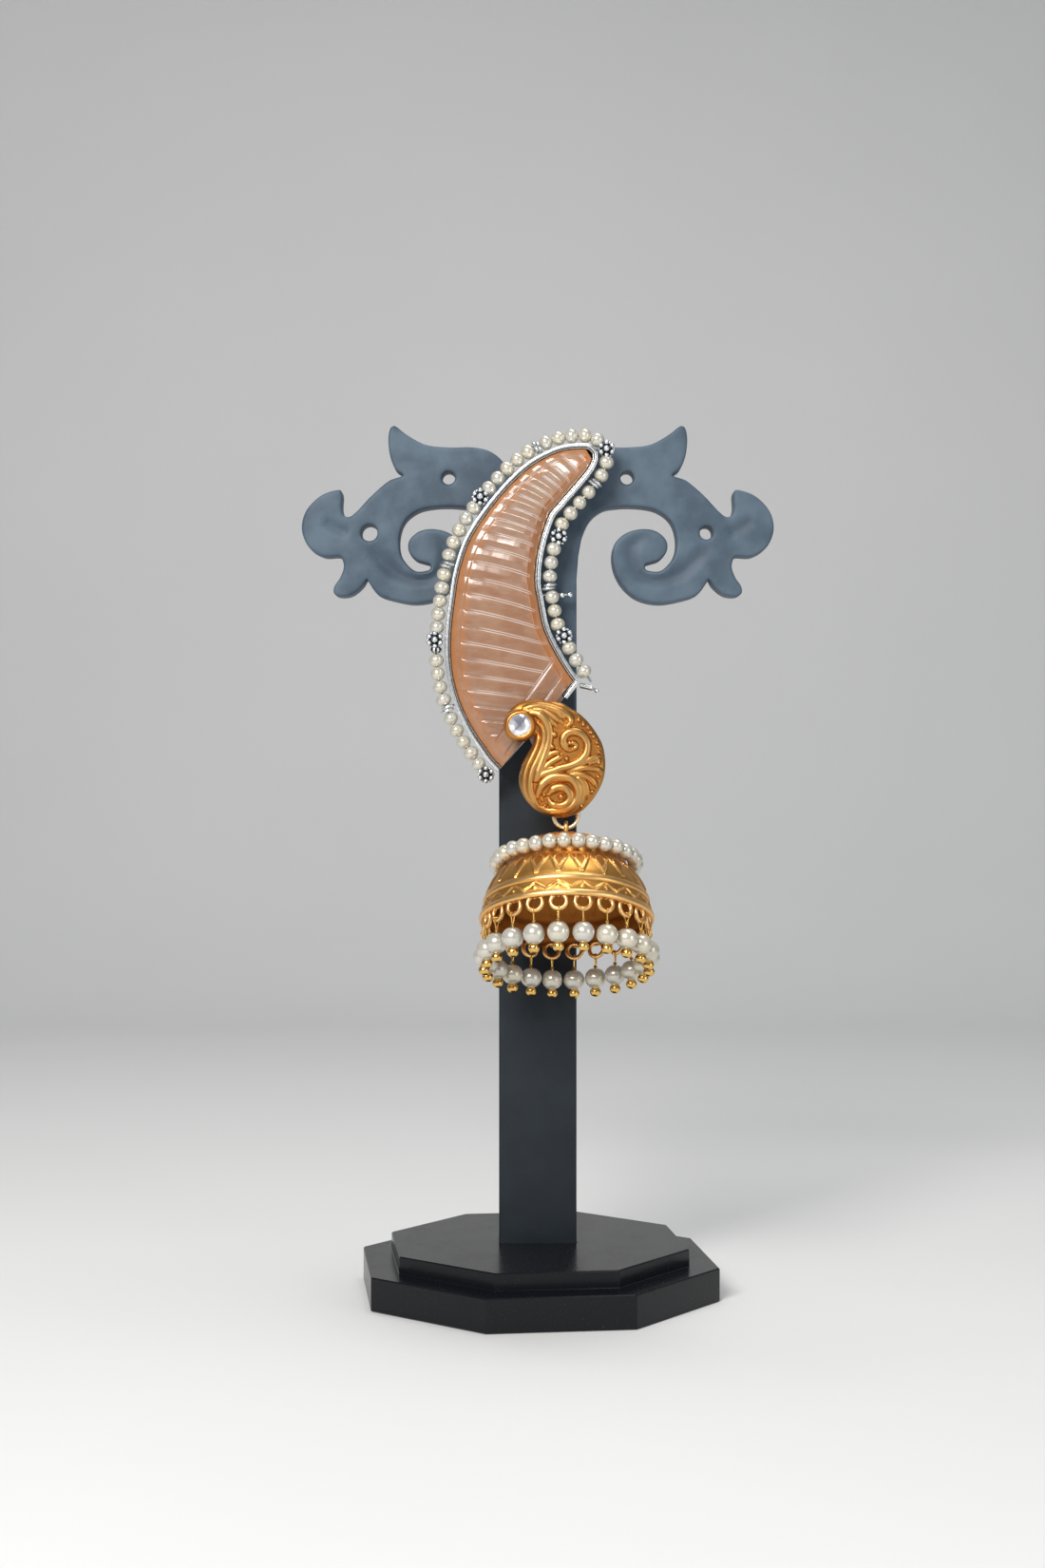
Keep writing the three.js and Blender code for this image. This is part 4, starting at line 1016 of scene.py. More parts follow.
# Each row: what it is, how many, and the length of one in pearl pitches.
STRING_UP = [
    ("rosette", 1, .88), ("pearl", 5, 1), ("tie", 1, .5), ("pearl", 4, 1), ("rondelle", 1, .6),
    ("rosette", 1, .88), ("pearl", 5, 1), ("tie", 1, .5), ("pearl", 5, 1), ("rosette", 1, .88),
    ("pearl", 5, 1), ("tie", 1, .5), ("pearl", 5, 1), ("tip", 1, .44)]
STRING_DOWN = [
    ("tip", 1, .44), ("pearl", 2, 1), ("tie", 1, .5), ("pearl", 4, 1), ("rosette", 1, .88),
    ("pearl", 3, 1), ("tie", 1, .5), ("pearl", 3, 1), ("rosette", 1, .88), ("pearl", 3, 1), ("end", 1, .4)]
route = moved_sideways(rim_line, STRING_AWAY)
route = np.concatenate([route, route[-1:] + 1.5 * unit(route[-1:] - route[-4:-3])])
route_lengths = lengths_along(route)
tip_length = route_lengths[len(outer_line) - 1]


def threaded(run, start, length):
    """Kinds of the beads of a run, and the middle of each along the wire."""
    kinds = [kind for kind, count, size in run for k in range(count)]
    sizes = np.array([size for kind, count, size in run for k in range(count)])
    return kinds, start + (np.cumsum(sizes) - sizes / 2) * length / sizes.sum()


kinds_up, middles_up = threaded(STRING_UP, 0, tip_length)
kinds_down, middles_down = threaded(STRING_DOWN, tip_length, route_lengths[-1] - tip_length)
bead_kinds = np.array(kinds_up + kinds_down)
bead_middles = np.concatenate([middles_up, middles_down])


def string_place(kind, sideways=0.0, forward=0.0):
    """Places and directions on the wire of all beads of one kind, moved outwards and to the front."""
    at = bead_middles[bead_kinds == kind]
    flat = places_on(route, at)
    ahead = places_on(route, np.minimum(at + 0.4, route_lengths[-1]))
    behind = places_on(route, np.maximum(at - 0.4, 0))
    along = unit(ahead - behind)
    flat = flat + sideways * np.stack([-along[:, 1], along[:, 0]], axis=1)
    return upright(flat, STRING_DEPTH - forward), upright(along, 0.0)


# %% Pearls of the string
def uneven(axes, count, amount, seed):
    """Axes stretched a little by chance, so that no two beads are alike."""
    stretch = 1 + amount * (np.stack([chance(count, seed + k) for k in range(3)], axis=1) - 0.5)
    return axes * stretch[:, :, None]


def string_pearls():
    """Slightly flattened pearls at their places, each one a little different and turned its own way."""
    places, along = string_place("pearl")
    pitch = np.median(np.diff(middles_up[np.array(kinds_up) == "pearl"]))
    one = bead(SEED_PEARL / 2 * 1.05, pitch * 1.04, 15, 20, hole=0.14)
    return copies(one, places, uneven(framed(along), len(places), 0.09, 4), seed=1)


make_piece("string_pearls", string_pearls(), PEARL_LOOK, "stand_and_wing",
           ["wing_pearl_string"])

# %% [markdown]
# The rosettes are beads of the kind that silversmiths build from shot: a small core with one granule on
# the front, six round it and six more below them. Soot-black silver fills what the cloth can't reach, and
# the back half of every granule is painted dark as painted shade.

# %% Rosettes, ties, rondelle, wire and end ring
CORE_RADIUS, FRONT_GRANULE, RING_GRANULE, UNDER_GRANULE = 1.12, 0.54, 0.44, 0.3
STRING_WIRE = 0.2


def granule_bead():
    """Core and thirteen granules, facing the viewer: rings of six at two heights about -y."""
    core = turned([(0, .95), (.8, .8), (CORE_RADIUS, .1), (.85, -.7), (0, -.9)], 16, paint=(1, 0, 0))
    core = core._replace(points=core.points[:, [0, 2, 1]])
    turn = np.arange(6) * np.pi / 3 + np.pi / 6
    lower = turn + np.pi / 6
    front = np.array([[0, -0.98, 0]])
    ring = np.stack([1.12 * np.cos(turn), np.full(6, -0.66), 1.12 * np.sin(turn)], axis=1)
    under = np.stack([1.24 * np.cos(lower), np.full(6, 0.4), 1.24 * np.sin(lower)], axis=1)
    shot = bead(1.0, 2.0, 9, 12)
    # Painted shade: each granule darkens towards its back half, away from the light.
    painted_back_shade = np.clip((shot.points[:, 2:3] + 0.5) * 1.6, 0, 1) * (1, 0, 0)
    shot = outward(shot._replace(points=shot.points[:, [0, 2, 1]], paint=painted_back_shade))
    rings = [(front, FRONT_GRANULE), (ring, RING_GRANULE), (under, UNDER_GRANULE)]
    granules = [copies(shot, places, np.tile(np.eye(3) * radius, (len(places), 1, 1)))
                for places, radius in rings]
    return joined(outward(core), *granules)


def rosettes():
    """Granule beads at their places and at the wing's tip, moved outwards over the wire."""
    places = string_place("rosette", sideways=0.25, forward=0.15)[0]
    tip = string_place("tip", sideways=0.25, forward=0.15)[0]
    return copies(granule_bead(), np.concatenate([places, tip.mean(axis=0, keepdims=True)]), seed=5)


def tie_turns():
    """Two turns of wire at each tie, long ovals across the wire that reach over the bezel's edge."""
    places, along = string_place("tie")
    axes = framed(along)
    turn = np.linspace(0, 2 * np.pi, 29)[:-1]
    oval = np.stack([1.0 * np.cos(turn), 1.05 * np.sin(turn), np.zeros(28)], axis=1)
    one = wire(oval, 0.25, 8, up=(0, 0, 1), closed=True)
    shifted = [one._replace(points=one.points + (0.3 * k, 0, (k - 0.5) * 0.56)) for k in range(2)]
    return copies(joined(*shifted), places, axes, seed=6)


def rondelles():
    """Notched silver beads between the pearls: a turned bead whose radius waves eight times round it."""
    places, along = string_place("rondelle")
    one = bead(1.12, 1.3, 11, 32)
    angle = np.arctan2(one.points[:, 1], one.points[:, 0])
    wave = 1 - 0.09 * (1 + np.cos(8 * angle)) / 2
    one = one._replace(points=one.points * np.column_stack([wave, wave, np.ones(len(wave))]),
                       paint=np.column_stack([1 - (wave - 0.91) / 0.09, wave * 0, wave * 0]))
    return copies(one, places, framed(along), seed=7)


def string_end():
    """Long bead after the last pearl, the wire's end with its ball, and the two balls of the hidden wire."""
    place, along = string_place("end")
    centre = place[0] + along[0] * 0.5 + (-0.9, 0, -0.9)
    side = np.array([0.97, 0, -0.24])
    bar = centre + np.array([-1.25, -1.1, -0.5, 0.4, 1.0, 1.15])[:, None] * side
    tail = centre + np.array([[0.9], [1.4], [1.9]]) * side + [(0, 0, 0), (0, 0, -.1), (0, 0, -.25)]
    ball = bead(0.42, 0.8, 9, 12)
    behind = on_wing([(.775, .545), (.83, .547)])
    return joined(wire(bar, 0.5, 12, sizes=np.array([0.4, 0.95, 1, 0.9, 1, 0.4])), wire(tail, 0.24, 8),
                  copies(ball, np.array([tail[-1]])),
                  copies(bead(0.5, 1.0, 11, 16), upright(behind, PLATE_BACK - 0.9)),
                  wire(upright(on_wing([(.62, .545), (.7, .55), (.83, .547)]), PLATE_BACK - 0.5), 0.18, 8))


def string_silver():
    """All the silver of the string as one skin."""
    core = wire(upright(evenly(route, 220), STRING_DEPTH), STRING_WIRE, 8, paint=(0.5, 0, 0))
    return joined(core, rosettes(), tie_turns(), rondelles(), string_end())


make_piece("string_silver", string_silver(), SILVER_LOOK, "stand_and_wing",
           ["wing_pearl_string"])

# %% [markdown]
# ## The gold paisley
# The paisley is cast: a low mound whose front is covered with round ridges, a spiral, a second coil below
# it, a feathered leaf over the top and small granules. Each ridge is a short line of points over the
# outline's width and height. The front is one height field, the distance to the outline gives the mound,
# and the distance to each ridge line raises a half-round bead of metal that thins out at its ends.

# %% Outline and relief of the paisley
PAISLEY_HEAD = np.array([
    (.294, .694), (.23, .665), (.145, .646), (.06, .673), (.009, .739), (0, .805), (.034, .886),
    (.111, .96), (.213, .993), (.315, 1)])
PAISLEY_BODY = np.array([
    (.315, 1), (.418, .989), (.57, .967), (.656, .923), (.741, .879), (.826, .812), (.91, .717),
    (.97, .621), (.995, .525), (1, .422), (.979, .319), (.929, .223), (.851, .128), (.757, .054),
    (.656, .017), (.553, 0), (.433, .017), (.315, .062), (.23, .128), (.171, .209), (.14, .297),
    (.145, .371), (.179, .467), (.23, .547), (.273, .613), (.29, .665), (.294, .694)])
HEAD_CENTRE = np.array((.149, .779))
BODY_CENTRE = np.array((.56, .46))
# Each ridge: half its width and its height in millimetres, and its line.
RIDGES = {
    "leaf_edge": (.62, .55, [(.187, .925), (.364, .955), (.567, .9), (.651, .842), (.655, .806),
                             (.617, .769)]),
    "leaf_upper": (.52, .42, [(.398, .94), (.516, .9), (.592, .842)]),
    "leaf_middle": (.52, .42, [(.263, .935), (.398, .905), (.499, .849), (.575, .798)]),
    "leaf_lower": (.5, .42, [(.17, .9), (.314, .895), (.432, .842), (.516, .769)]),
    "stem_front": (.85, .72, [(.254, .885), (.33, .88), (.398, .827), (.432, .754), (.432, .652), (.398, .55),
                              (.356, .448), (.322, .368), (.305, .317)]),
    "stem_second": (.62, .6, [(.33, .798), (.373, .754), (.385, .682), (.365, .594), (.325, .506),
                             (.268, .404),
                              (.246, .317), (.254, .222), (.297, .127), (.364, .065)]),
    "stem_third": (.55, .5, [(.3, .74), (.322, .696), (.308, .609), (.263, .521), (.212, .426), (.185, .331),
                            (.192, .229), (.235, .134), (.3, .07)]),
    "stem_edge": (.5, .4, [(.288, .638), (.234, .536), (.18, .441), (.155, .346), (.163, .244), (.203, .155),
                            (.276, .078), (.364, .035), (.482, .018)]),
    "spiral": (.74, .7, [(.676, .579), (.626, .579), (.583, .623), (.583, .674), (.626, .718), (.702, .725),
                         (.777, .696), (.82, .638), (.811, .55), (.752, .484), (.651, .441), (.55, .419),
                         (.482, .397), (.398, .375), (.339, .346), (.314, .317)]),
    "spiral_end": (.46, .55, [(.659, .638), (.702, .623), (.706, .598), (.676, .579)]),
    "leaflet_upper": (.5, .45, [(.398, .499), (.465, .543), (.541, .557)]),
    "leaflet_middle": (.55, .45, [(.364, .39), (.448, .463), (.567, .521)]),
    "leaflet_lower": (.5, .42, [(.347, .353), (.432, .404), (.499, .426)]),
    "coil_outer": (.82, .66, [(.322, .178), (.364, .273), (.465, .339), (.567, .346), (.668, .324),
                              (.727, .258), (.735, .185), (.702, .12), (.626, .069), (.516, .047),
                              (.415, .054), (.347, .09)]),
    "coil_inner": (.78, .7, [(.432, .2), (.499, .251), (.583, .258), (.643, .214), (.651, .171), (.617, .12),
                             (.55, .098), (.474, .112), (.44, .149)]),
    "fan_first": (.48, .42, [(.828, .463), (.955, .492)]),
    "fan_second": (.56, .46, [(.626, .404), (.735, .448), (.845, .492), (.946, .521)]),
    "fan_third": (.56, .46, [(.634, .39), (.777, .419), (.904, .412), (.97, .39)]),
    "fan_fourth": (.56, .46, [(.651, .368), (.786, .36), (.879, .309), (.912, .258)]),
    "fan_fifth": (.56, .46, [(.702, .346), (.786, .302), (.82, .229), (.82, .171)]),
    "fan_sixth": (.5, .42, [(.735, .317), (.777, .244), (.769, .149), (.718, .09)])}
# Each granule: its place and its radius in millimetres.
GRANULES = np.array([
    (.645, .63, .46), (.558, .18, .55), (.49, .7, .55), (.47, .598, .5), (.613, .499, .46), (.389, .193, .34),
    (.375, .149, .32), (.398, .105, .32), (.735, .827, .46), (.782, .787, .4), (.832, .758, .38),
    (.862, .718, .36), (.887, .683, .36), (.917, .634, .38), (.934, .598, .32), (.94, .555, .32),
    (.94, .465, .38), (.93, .346, .4), (.872, .22, .38), (.769, .095, .36), (.6, .855, .3)])
RING_AXIS_DEPTH = PIVOTS["ring_sway"][1]
LINK_WIRE = 0.35
PAISLEY_BACK = RING_AXIS_DEPTH - LINK_WIRE - 0.3
PAISLEY_EDGE, PAISLEY_DOME = 0.75, 2.25
MOUND_WIDTH = 4.6
OUTLINE_STEPS, DIVIDER_STEPS = 22, 40


def on_paisley(shares):
    """Shares of the paisley's width and height as millimetres of x and z."""
    return PAISLEY_CORNER + np.asarray(shares)[..., :2] * PAISLEY_SIZE


head_run = smooth_line(on_paisley(np.concatenate([PAISLEY_HEAD, PAISLEY_BODY[1:]])), OUTLINE_STEPS)
split = (len(PAISLEY_HEAD) - 1) * OUTLINE_STEPS
divider = head_run[0] + np.linspace(0, 1, DIVIDER_STEPS)[:, None] * (head_run[split] - head_run[0])


def paisley_height(places):
    """Height over the back: a quarter-round rise with the distance to the outline, plus the highest of
    the ridges, each sqrt(1 - (distance / half width) squared) high, plus the granules."""
    edge = nearest_on(head_run[::3], places)[0]
    rise = np.clip(edge / MOUND_WIDTH, 0, 1)
    base = PAISLEY_EDGE + (PAISLEY_DOME - PAISLEY_EDGE) * np.sqrt(1 - (1 - rise) ** 2.4)
    relief = np.zeros(len(places))
    for half_width, height, line in RIDGES.values():
        distance, share = nearest_on(smooth_line(on_paisley(line), 5), places)
        taper = np.clip(0.55 + 4 * np.minimum(share, 1 - share), 0, 1)
        profile = np.sqrt(np.clip(1 - (distance / (half_width * taper)) ** 2, 0, 1))
        relief = np.maximum(relief, height * taper * profile)
    for place, radius in zip(on_paisley(GRANULES), GRANULES[:, 2]):
        distance = np.hypot(*(places - place).T)
        relief = np.maximum(relief, 1.35 * np.sqrt(np.clip(radius ** 2 - distance ** 2, 0, None)))
    inside = np.clip(edge / 0.35, 0, 1)
    return base + relief * inside, relief * inside, edge


# %% Front, wall and back of the paisley
def mound_patch(rim, centre, rows, open_columns):
    """Rings drawn from the rim to a centre and lifted to the height field, then the same rim on the back.
    The wall between the two is left out where the next patch goes on."""
    shrink = 1 - (1 - np.linspace(1 / rows, 1, rows)) ** 1.5
    places = centre + shrink[:, None, None] * (rim - centre)
    height, relief, edge = paisley_height(places.reshape(-1, 2))
    height, relief, edge = (value.reshape(rows, -1) for value in (height, relief, edge))
    front = np.stack([places[..., 0], PAISLEY_BACK - height, places[..., 1]], axis=-1)
    # Hollow paint: brown on the ground between the ridges, the plating's own brown and painted shade.
    hollow = 0.45 * np.clip(1 - relief / 0.3, 0, 1) * np.clip(edge / 0.9, 0.15, 1)
    # Painted highlight: the ridge tops are painted pale.
    painted_highlight = np.clip(relief / 0.5 - 0.25, 0, 1)
    paint = np.stack([hollow, painted_highlight, np.zeros_like(hollow)], axis=-1)
    back = upright(rim, PAISLEY_BACK)[None]
    skin = skin_over(np.concatenate([front, back]), paint=np.concatenate([paint, paint[-1:]]))
    quads = skin.quads.reshape(rows, len(rim), 4)
    wall = np.ones((rows, len(rim)), bool)
    wall[-1, open_columns] = False
    return skin._replace(quads=quads[wall])


def spun(section, sides, paint=(0, 0, 0)):
    """Closed section of (radius, height) carried round the z axis."""
    return skin_over(carried_round(np.array(section), sides), wrap_rows=True, paint=paint)


def facing_front(skin, centre, back):
    """Turns a body from the z axis to face the viewer, standing on the plane y = back."""
    x, y, z = skin.points.T
    return skin._replace(points=np.stack([centre[0] + x, back - z, centre[1] + y], axis=1))


def paisley_front():
    """The body's patch and the head's patch, which share their points along the dividing line."""
    body_rim = np.concatenate([head_run[split:-1], divider[:-1]])
    head_rim = np.concatenate([head_run[:split], divider[:0:-1]])
    body_open = slice(len(head_run) - 1 - split, None)
    head_open = slice(split, None)
    return joined(mound_patch(body_rim, on_paisley(BODY_CENTRE), 92, body_open),
                  mound_patch(head_rim, on_paisley(HEAD_CENTRE), 40, head_open))


make_piece("gold_paisley", paisley_front(), PAISLEY_GOLD_PAINTED_DARK, "stand_and_wing", ["paisley"],
           crease=50, weld=0.002)

# %% [markdown]
# ### Collet, bail, boss and crystal
# The collet is a tube whose lip is rubbed over the crystal's girdle. The bail is a loop soldered behind
# the paisley's lower edge, and the boss is the short post that joins the paisley to the silver tongue.
# The crystal is a round brilliant: a table, two rows of crown facets, a girdle and a pavilion, kept flat.

# %% Small gold parts behind and on the paisley
CRYSTAL_RADIUS, CRYSTAL_HEIGHT = 1.95, 1.6
HEAD_DOME = 2.016
CULET = HEAD_DOME + 0.3
BAIL_RADIUS = 1.3
crystal_place = on_paisley(HEAD_CENTRE)


def collet():
    """Tube round the crystal, flared a little and rolled over its girdle."""
    lip = CULET + 0.68 * CRYSTAL_HEIGHT
    section = [(2.2, .9), (2.85, .9), (2.78, lip - 1.1), (2.6, lip - .4), (2.42, lip - .08),
               (2.25, lip + .04), (2.08, lip + .06),
               (1.96, lip + .02), (1.93, lip - .05), (2.02, lip - .12), (2.15, lip - .3)]
    return facing_front(spun(section, 64), crystal_place, PAISLEY_BACK)


def bail():
    """Loop of wire across the jump ring, in the plane of y and z, above the ring's pivot."""
    centre = PIVOTS["ring_sway"] + (0, 0, BAIL_RADIUS)
    turn = np.linspace(0, 2 * np.pi, 49)[:-1]
    loop = centre + BAIL_RADIUS * np.stack([0 * turn, np.cos(turn), np.sin(turn)], axis=1)
    return wire(loop, LINK_WIRE, 12, up=(1, 0, 0), closed=True)


def boss():
    """Post between the silver tongue and the paisley's back, with a small fillet at both ends."""
    length = PLATE_FRONT - 0.3 - PAISLEY_BACK + 0.35
    profile = [(0, 0), (1.6, 0), (1.6, .1), (1.45, .3), (1.4, .6), (1.4, length - .6), (1.6, length - .3),
               (1.6, length), (0, length)]
    # The hollow paint darkens the boss behind the paisley: antique brown and painted shade.
    return facing_front(turned(profile, 32, (0.4, 0, 0)), BOSS_PLACE, PLATE_FRONT - 0.3)


make_piece("paisley_fittings", joined(collet(), bail(), boss()), PAISLEY_GOLD_PAINTED_DARK, "stand_and_wing",
           ["paisley"])


def brilliant():
    """Rings of sixteen corners. On the table the odd corners lie on the edges of an octagon, so the faces
    below it part into stars and kites."""
    turn = 2 * np.pi * np.arange(16) / 16
    even = np.arange(16) % 2 == 0
    rows = [(.34, .34, .12), (.97, .97, .57), (1, 1, .6), (1, 1, .65), (.83, .77, .86), (.56, .517, 1)]
    rings = [np.where(even, a, b) * CRYSTAL_RADIUS for a, b, height in rows]
    heights = [height * CRYSTAL_HEIGHT for a, b, height in rows]
    points = np.stack([np.stack([ring * np.cos(turn), ring * np.sin(turn), np.full(16, z)], axis=1)
                       for ring, z in zip(rings, heights)])
    poles = ([0, 0, -0.08], [0, 0, CRYSTAL_HEIGHT])
    # Painted reflection: by chance half the columns of the upper girdle, crown and table edge are painted
    # dark, and so is the table's middle.
    shade = np.zeros((len(rows), 16, 3))
    shade[-3:, :, 0] = 0.75 * (chance(16, 11) > 0.5) * np.array([[0.6], [0.8], [1.0]])
    cut = skin_over(points, poles=poles, paint=shade)
    cut.paint[-1] = (0.9, 0, 0)
    return facing_front(cut, crystal_place, PAISLEY_BACK - CULET)


make_piece("crystal_brilliant", brilliant(), CRYSTAL_LOOK, "stand_and_wing", ["crystal"], crease=1)

# %% [markdown]
# ## Jump ring
# One ring of wire, its two ends meeting at the top behind the paisley, lets the bell sway and swing.

# %% Jump ring
RING_RADIUS = 2.1
RING_TO_LINK = 2 * LINK_WIRE + 0.25


def jump_ring():
    """Wire round a circle in the plane of x and z, with a hair's gap where its ends meet, and the small
    cone that caps it at its right side."""
    centre = PIVOTS["bell_swing"] + (0, 0, RING_RADIUS)
    turn = np.pi / 2 + np.radians(2.5) + np.linspace(0, 2 * np.pi - np.radians(5), 90)
    line = centre + RING_RADIUS * np.stack([np.cos(turn), 0 * turn, np.sin(turn)], axis=1)
    cap_turn = np.radians(8)
    cap_place = centre + RING_RADIUS * np.array([np.cos(cap_turn), 0, np.sin(cap_turn)])
    cap = turned([(0, .68), (.14, .64), (.28, .2), (.44, -.36), (.44, -.5), (0, -.5)], 14)
    return joined(wire(line, LINK_WIRE, 14, up=(0, 1, 0)), copies(cap, cap_place[None]))


make_piece("bell_jump_ring", jump_ring(), RING_GOLD_PAINTED_PALE, "ring", ["jump_ring"])

# %% [markdown]
# ## The bell
# The jhumka itself is a hollow dome pressed from sheet: a petalled cap, a groove where the seed pearls
# sit, a wide band of hearts between raised triangles, a bright ridge, a zigzag and a rolled rim. It hangs
# from its top loop and leans back against nothing but its own pose, so all of it is worked out in a frame
# whose axis runs down from the pivot.

# %% The bell's own frame
BELL_RADIUS, BELL_HEIGHT, BELL_WALL = 14.6, 16.2, 0.8
BELL_LEAN = np.radians(21.5)
bell_pivot = PIVOTS["bell_swing"]
bell_down = np.array([0, -np.sin(BELL_LEAN), -np.cos(BELL_LEAN)])
bell_back = np.array([0, np.cos(BELL_LEAN), -np.sin(BELL_LEAN)])
bell_right = np.array([1.0, 0, 0])


def level_out(angle):
    """Direction out from the bell's axis at an angle from its right side towards its back."""
    angle = np.asarray(angle)[..., None]
    return np.cos(angle) * bell_right + np.sin(angle) * bell_back


def on_bell(angle, radius, depth):
    """Place at an angle and a radius from the axis, at a depth below the apex."""
    radius, depth = np.asarray(radius)[..., None], np.asarray(depth)[..., None]
    return bell_pivot + level_out(angle) * radius + bell_down * (depth + RING_TO_LINK)


# %% Relief of the bell
MOTIFS = 22
COLUMNS, ROWS = 440, 150
# Radius and depth as shares of the bell's radius and height.
BELL_LINE = np.array([
    (.05, .004), (.12, .025), (.2, .052), (.3, .09), (.42, .135), (.53, .178), (.63, .235), (.69, .3),
    (.705, .38), (.735, .44), (.8, .49), (.865, .57), (.905, .635), (.935, .7), (.955, .78), (.97, .84),
    (.985, .9), (1, 1)])
# Bands along the wall as shares of its length from the apex: start and end of each.
CAP_BAND, HEART_BAND, UPPER_RIDGE = (.18, .5), (.6, .81), (.815, .865)
ZIGZAG_BAND, RIM_BAND = (.87, .945), (.948, 1)
DROP_PHASE = 0.6


def share_of(value, band):
    """Where a value lies in a band, from 0 at its start to 1 at its end."""
    return (value - band[0]) / (band[1] - band[0])


def line_ridge(distance, half_width):
    """Round ridge about a line: one minus the squared distance in half widths, never below nothing."""
    return np.clip(1 - (distance / half_width) ** 2, 0, 1)


def bell_relief(along, phase, pitch):
    """Height of the relief in millimetres and the faces of the hearts, over the share along the wall and
    the motif's phase, which runs from -0.5 to 0.5 across a motif that is as wide as the pitch."""
    across = np.abs(phase) * pitch
    v = share_of(along, HEART_BAND)
    upper = np.sqrt(np.clip(1 - ((v - .36) / .3) ** 2, 0, 1))
    lower = np.clip((.86 - v) / .5, 0, 1)
    half_width = 1.08 * np.where(v < .36, upper, np.minimum(1, lower * 1.05))
    half_width = half_width - .2 * line_ridge(across, .25) * (v < .2)
    inside = half_width - across
    in_band = bump_shape(v, .02, .98, .05)
    heart = (0.14 * np.clip(inside / .3, 0, 1) + 0.16 * line_ridge(inside - .1, .16)) * (half_width > 0.02)
    diagonal = np.abs(across - np.clip((.97 - v) / .9, 0, 1) * pitch / 2)
    relief = in_band * (heart + 0.2 * line_ridge(diagonal, .2) * (inside < 0))
    w = share_of(along, ZIGZAG_BAND)
    zigzag = np.abs(w - .12 - .76 * np.abs(2 * phase)) * 1.5
    dot = np.hypot(across, (w - .68) * 1.5)
    relief += bump_shape(w, .02, .98, .04) * (0.22 * line_ridge(zigzag, .2) + 0.2 * line_ridge(dot, .3))
    ridge = share_of(along, UPPER_RIDGE) * 2 - 1
    relief += 0.3 * np.sqrt(np.clip(1 - ridge ** 2, 0, 1))
    rim = share_of(along, RIM_BAND) * 2 - 1
    relief += 0.42 * np.sqrt(np.clip(1 - rim ** 2, 0, 1))
    cap = share_of(along, CAP_BAND)
    petal = 1 - np.abs(2 * phase) ** 2.2
    relief += bump_shape(cap, .05, .8, .3) * 0.2 * petal
    return relief, in_band * np.clip(inside / .25 - .8, 0, 1)


def bell_wall():
    """Outer wall with its relief, painted shade in its low ground and on the hearts' faces and painted
    highlight on its relief, the rolled lip, and the plain inner wall back up to the ceiling, painted dark
    as painted shade.
    """
    line = evenly(smooth_line(BELL_LINE * (BELL_RADIUS, BELL_HEIGHT), 12), ROWS)
    along = lengths_along(line) / lengths_along(line)[-1]
    outward_normal = moved_sideways(line, 1) - line
    outward_normal = outward_normal * np.sign(outward_normal[:, :1])
    column = np.arange(COLUMNS) / COLUMNS * MOTIFS
    phase = (column - DROP_PHASE - np.round(column - DROP_PHASE))[None, :]
    angle = -np.pi / 2 + 2 * np.pi * np.arange(COLUMNS) / COLUMNS
    pitch = (2 * np.pi * line[:, :1] / MOTIFS)
    relief, hearts = bell_relief(along[:, None], phase, pitch)
    radius = line[:, :1] + relief * outward_normal[:, :1]
    depth = line[:, 1:] + relief * outward_normal[:, 1:]
    outside = on_bell(angle[None, :], radius, np.minimum(depth, BELL_HEIGHT))
    inner = evenly(smooth_line(BELL_LINE[2:] * (BELL_RADIUS, BELL_HEIGHT), 6), 60)[::-1] - (BELL_WALL, 0)
    inner[:, 1] = np.minimum(inner[:, 1] + BELL_WALL * np.linspace(0, 1, 60) ** 2, BELL_HEIGHT)
    ripple = 0.35 * bell_relief(np.linspace(1, .2, 60)[:, None], phase, 3.8)[0]
    inside = on_bell(angle[None, :], np.maximum(inner[:, :1] + ripple, 0.3), inner[:, 1:] + 0 * phase)
    lip_radius = BELL_RADIUS - BELL_WALL * np.array([[.25], [.6]])
    lip = on_bell(angle[None, :], lip_radius, np.full((2, 1), BELL_HEIGHT) + 0 * phase)
    # Painted shade: the low ground between the motifs is darkened by the hollow paint, the plating's own
    # brown with painted shade, and the hearts' flat faces are painted dark.
    floor = 0.28 * (1 - bump_shape(along, 0, .15, .1))[:, None] * np.clip(1 - relief / 0.16, 0, 1)
    floor = np.maximum(floor, 0.8 * hearts)
    # Painted highlight: the high relief is painted pale, less so on the hearts.
    raised_painted_highlight = np.clip(relief / .28 - .2, 0, 1) * (1 - 0.8 * hearts)
    outer_paint = np.stack([floor, raised_painted_highlight, 0 * relief], axis=-1)
    # Painted shade: the inner wall is painted dark all over, and the rolled lip half dark with a little
    # painted highlight.
    dark = np.broadcast_to(np.array([1.0, 0, 0]), inside.shape)
    rows = np.concatenate([outside, lip, inside])
    paint = np.concatenate([outer_paint, np.broadcast_to([.4, .2, 0], lip.shape), dark])
    apex = on_bell(0.0, 0.0, 0.0)
    ceiling = on_bell(0.0, 0.0, BELL_WALL + BELL_LINE[2, 1] * BELL_HEIGHT)
    return skin_over(rows, poles=(apex, ceiling), paint=paint)


make_piece("jhumka_bell", bell_wall(), BELL_GOLD, "jhumka", ["bell"], crease=45)

# %% [markdown]
# ### Loops of the bell
# Twenty-two rings are soldered under the rim, one for each drop, and one stronger loop on the apex takes
# the jump ring. They lie in the plane of the wall's own curve, so seen from the front they face us.

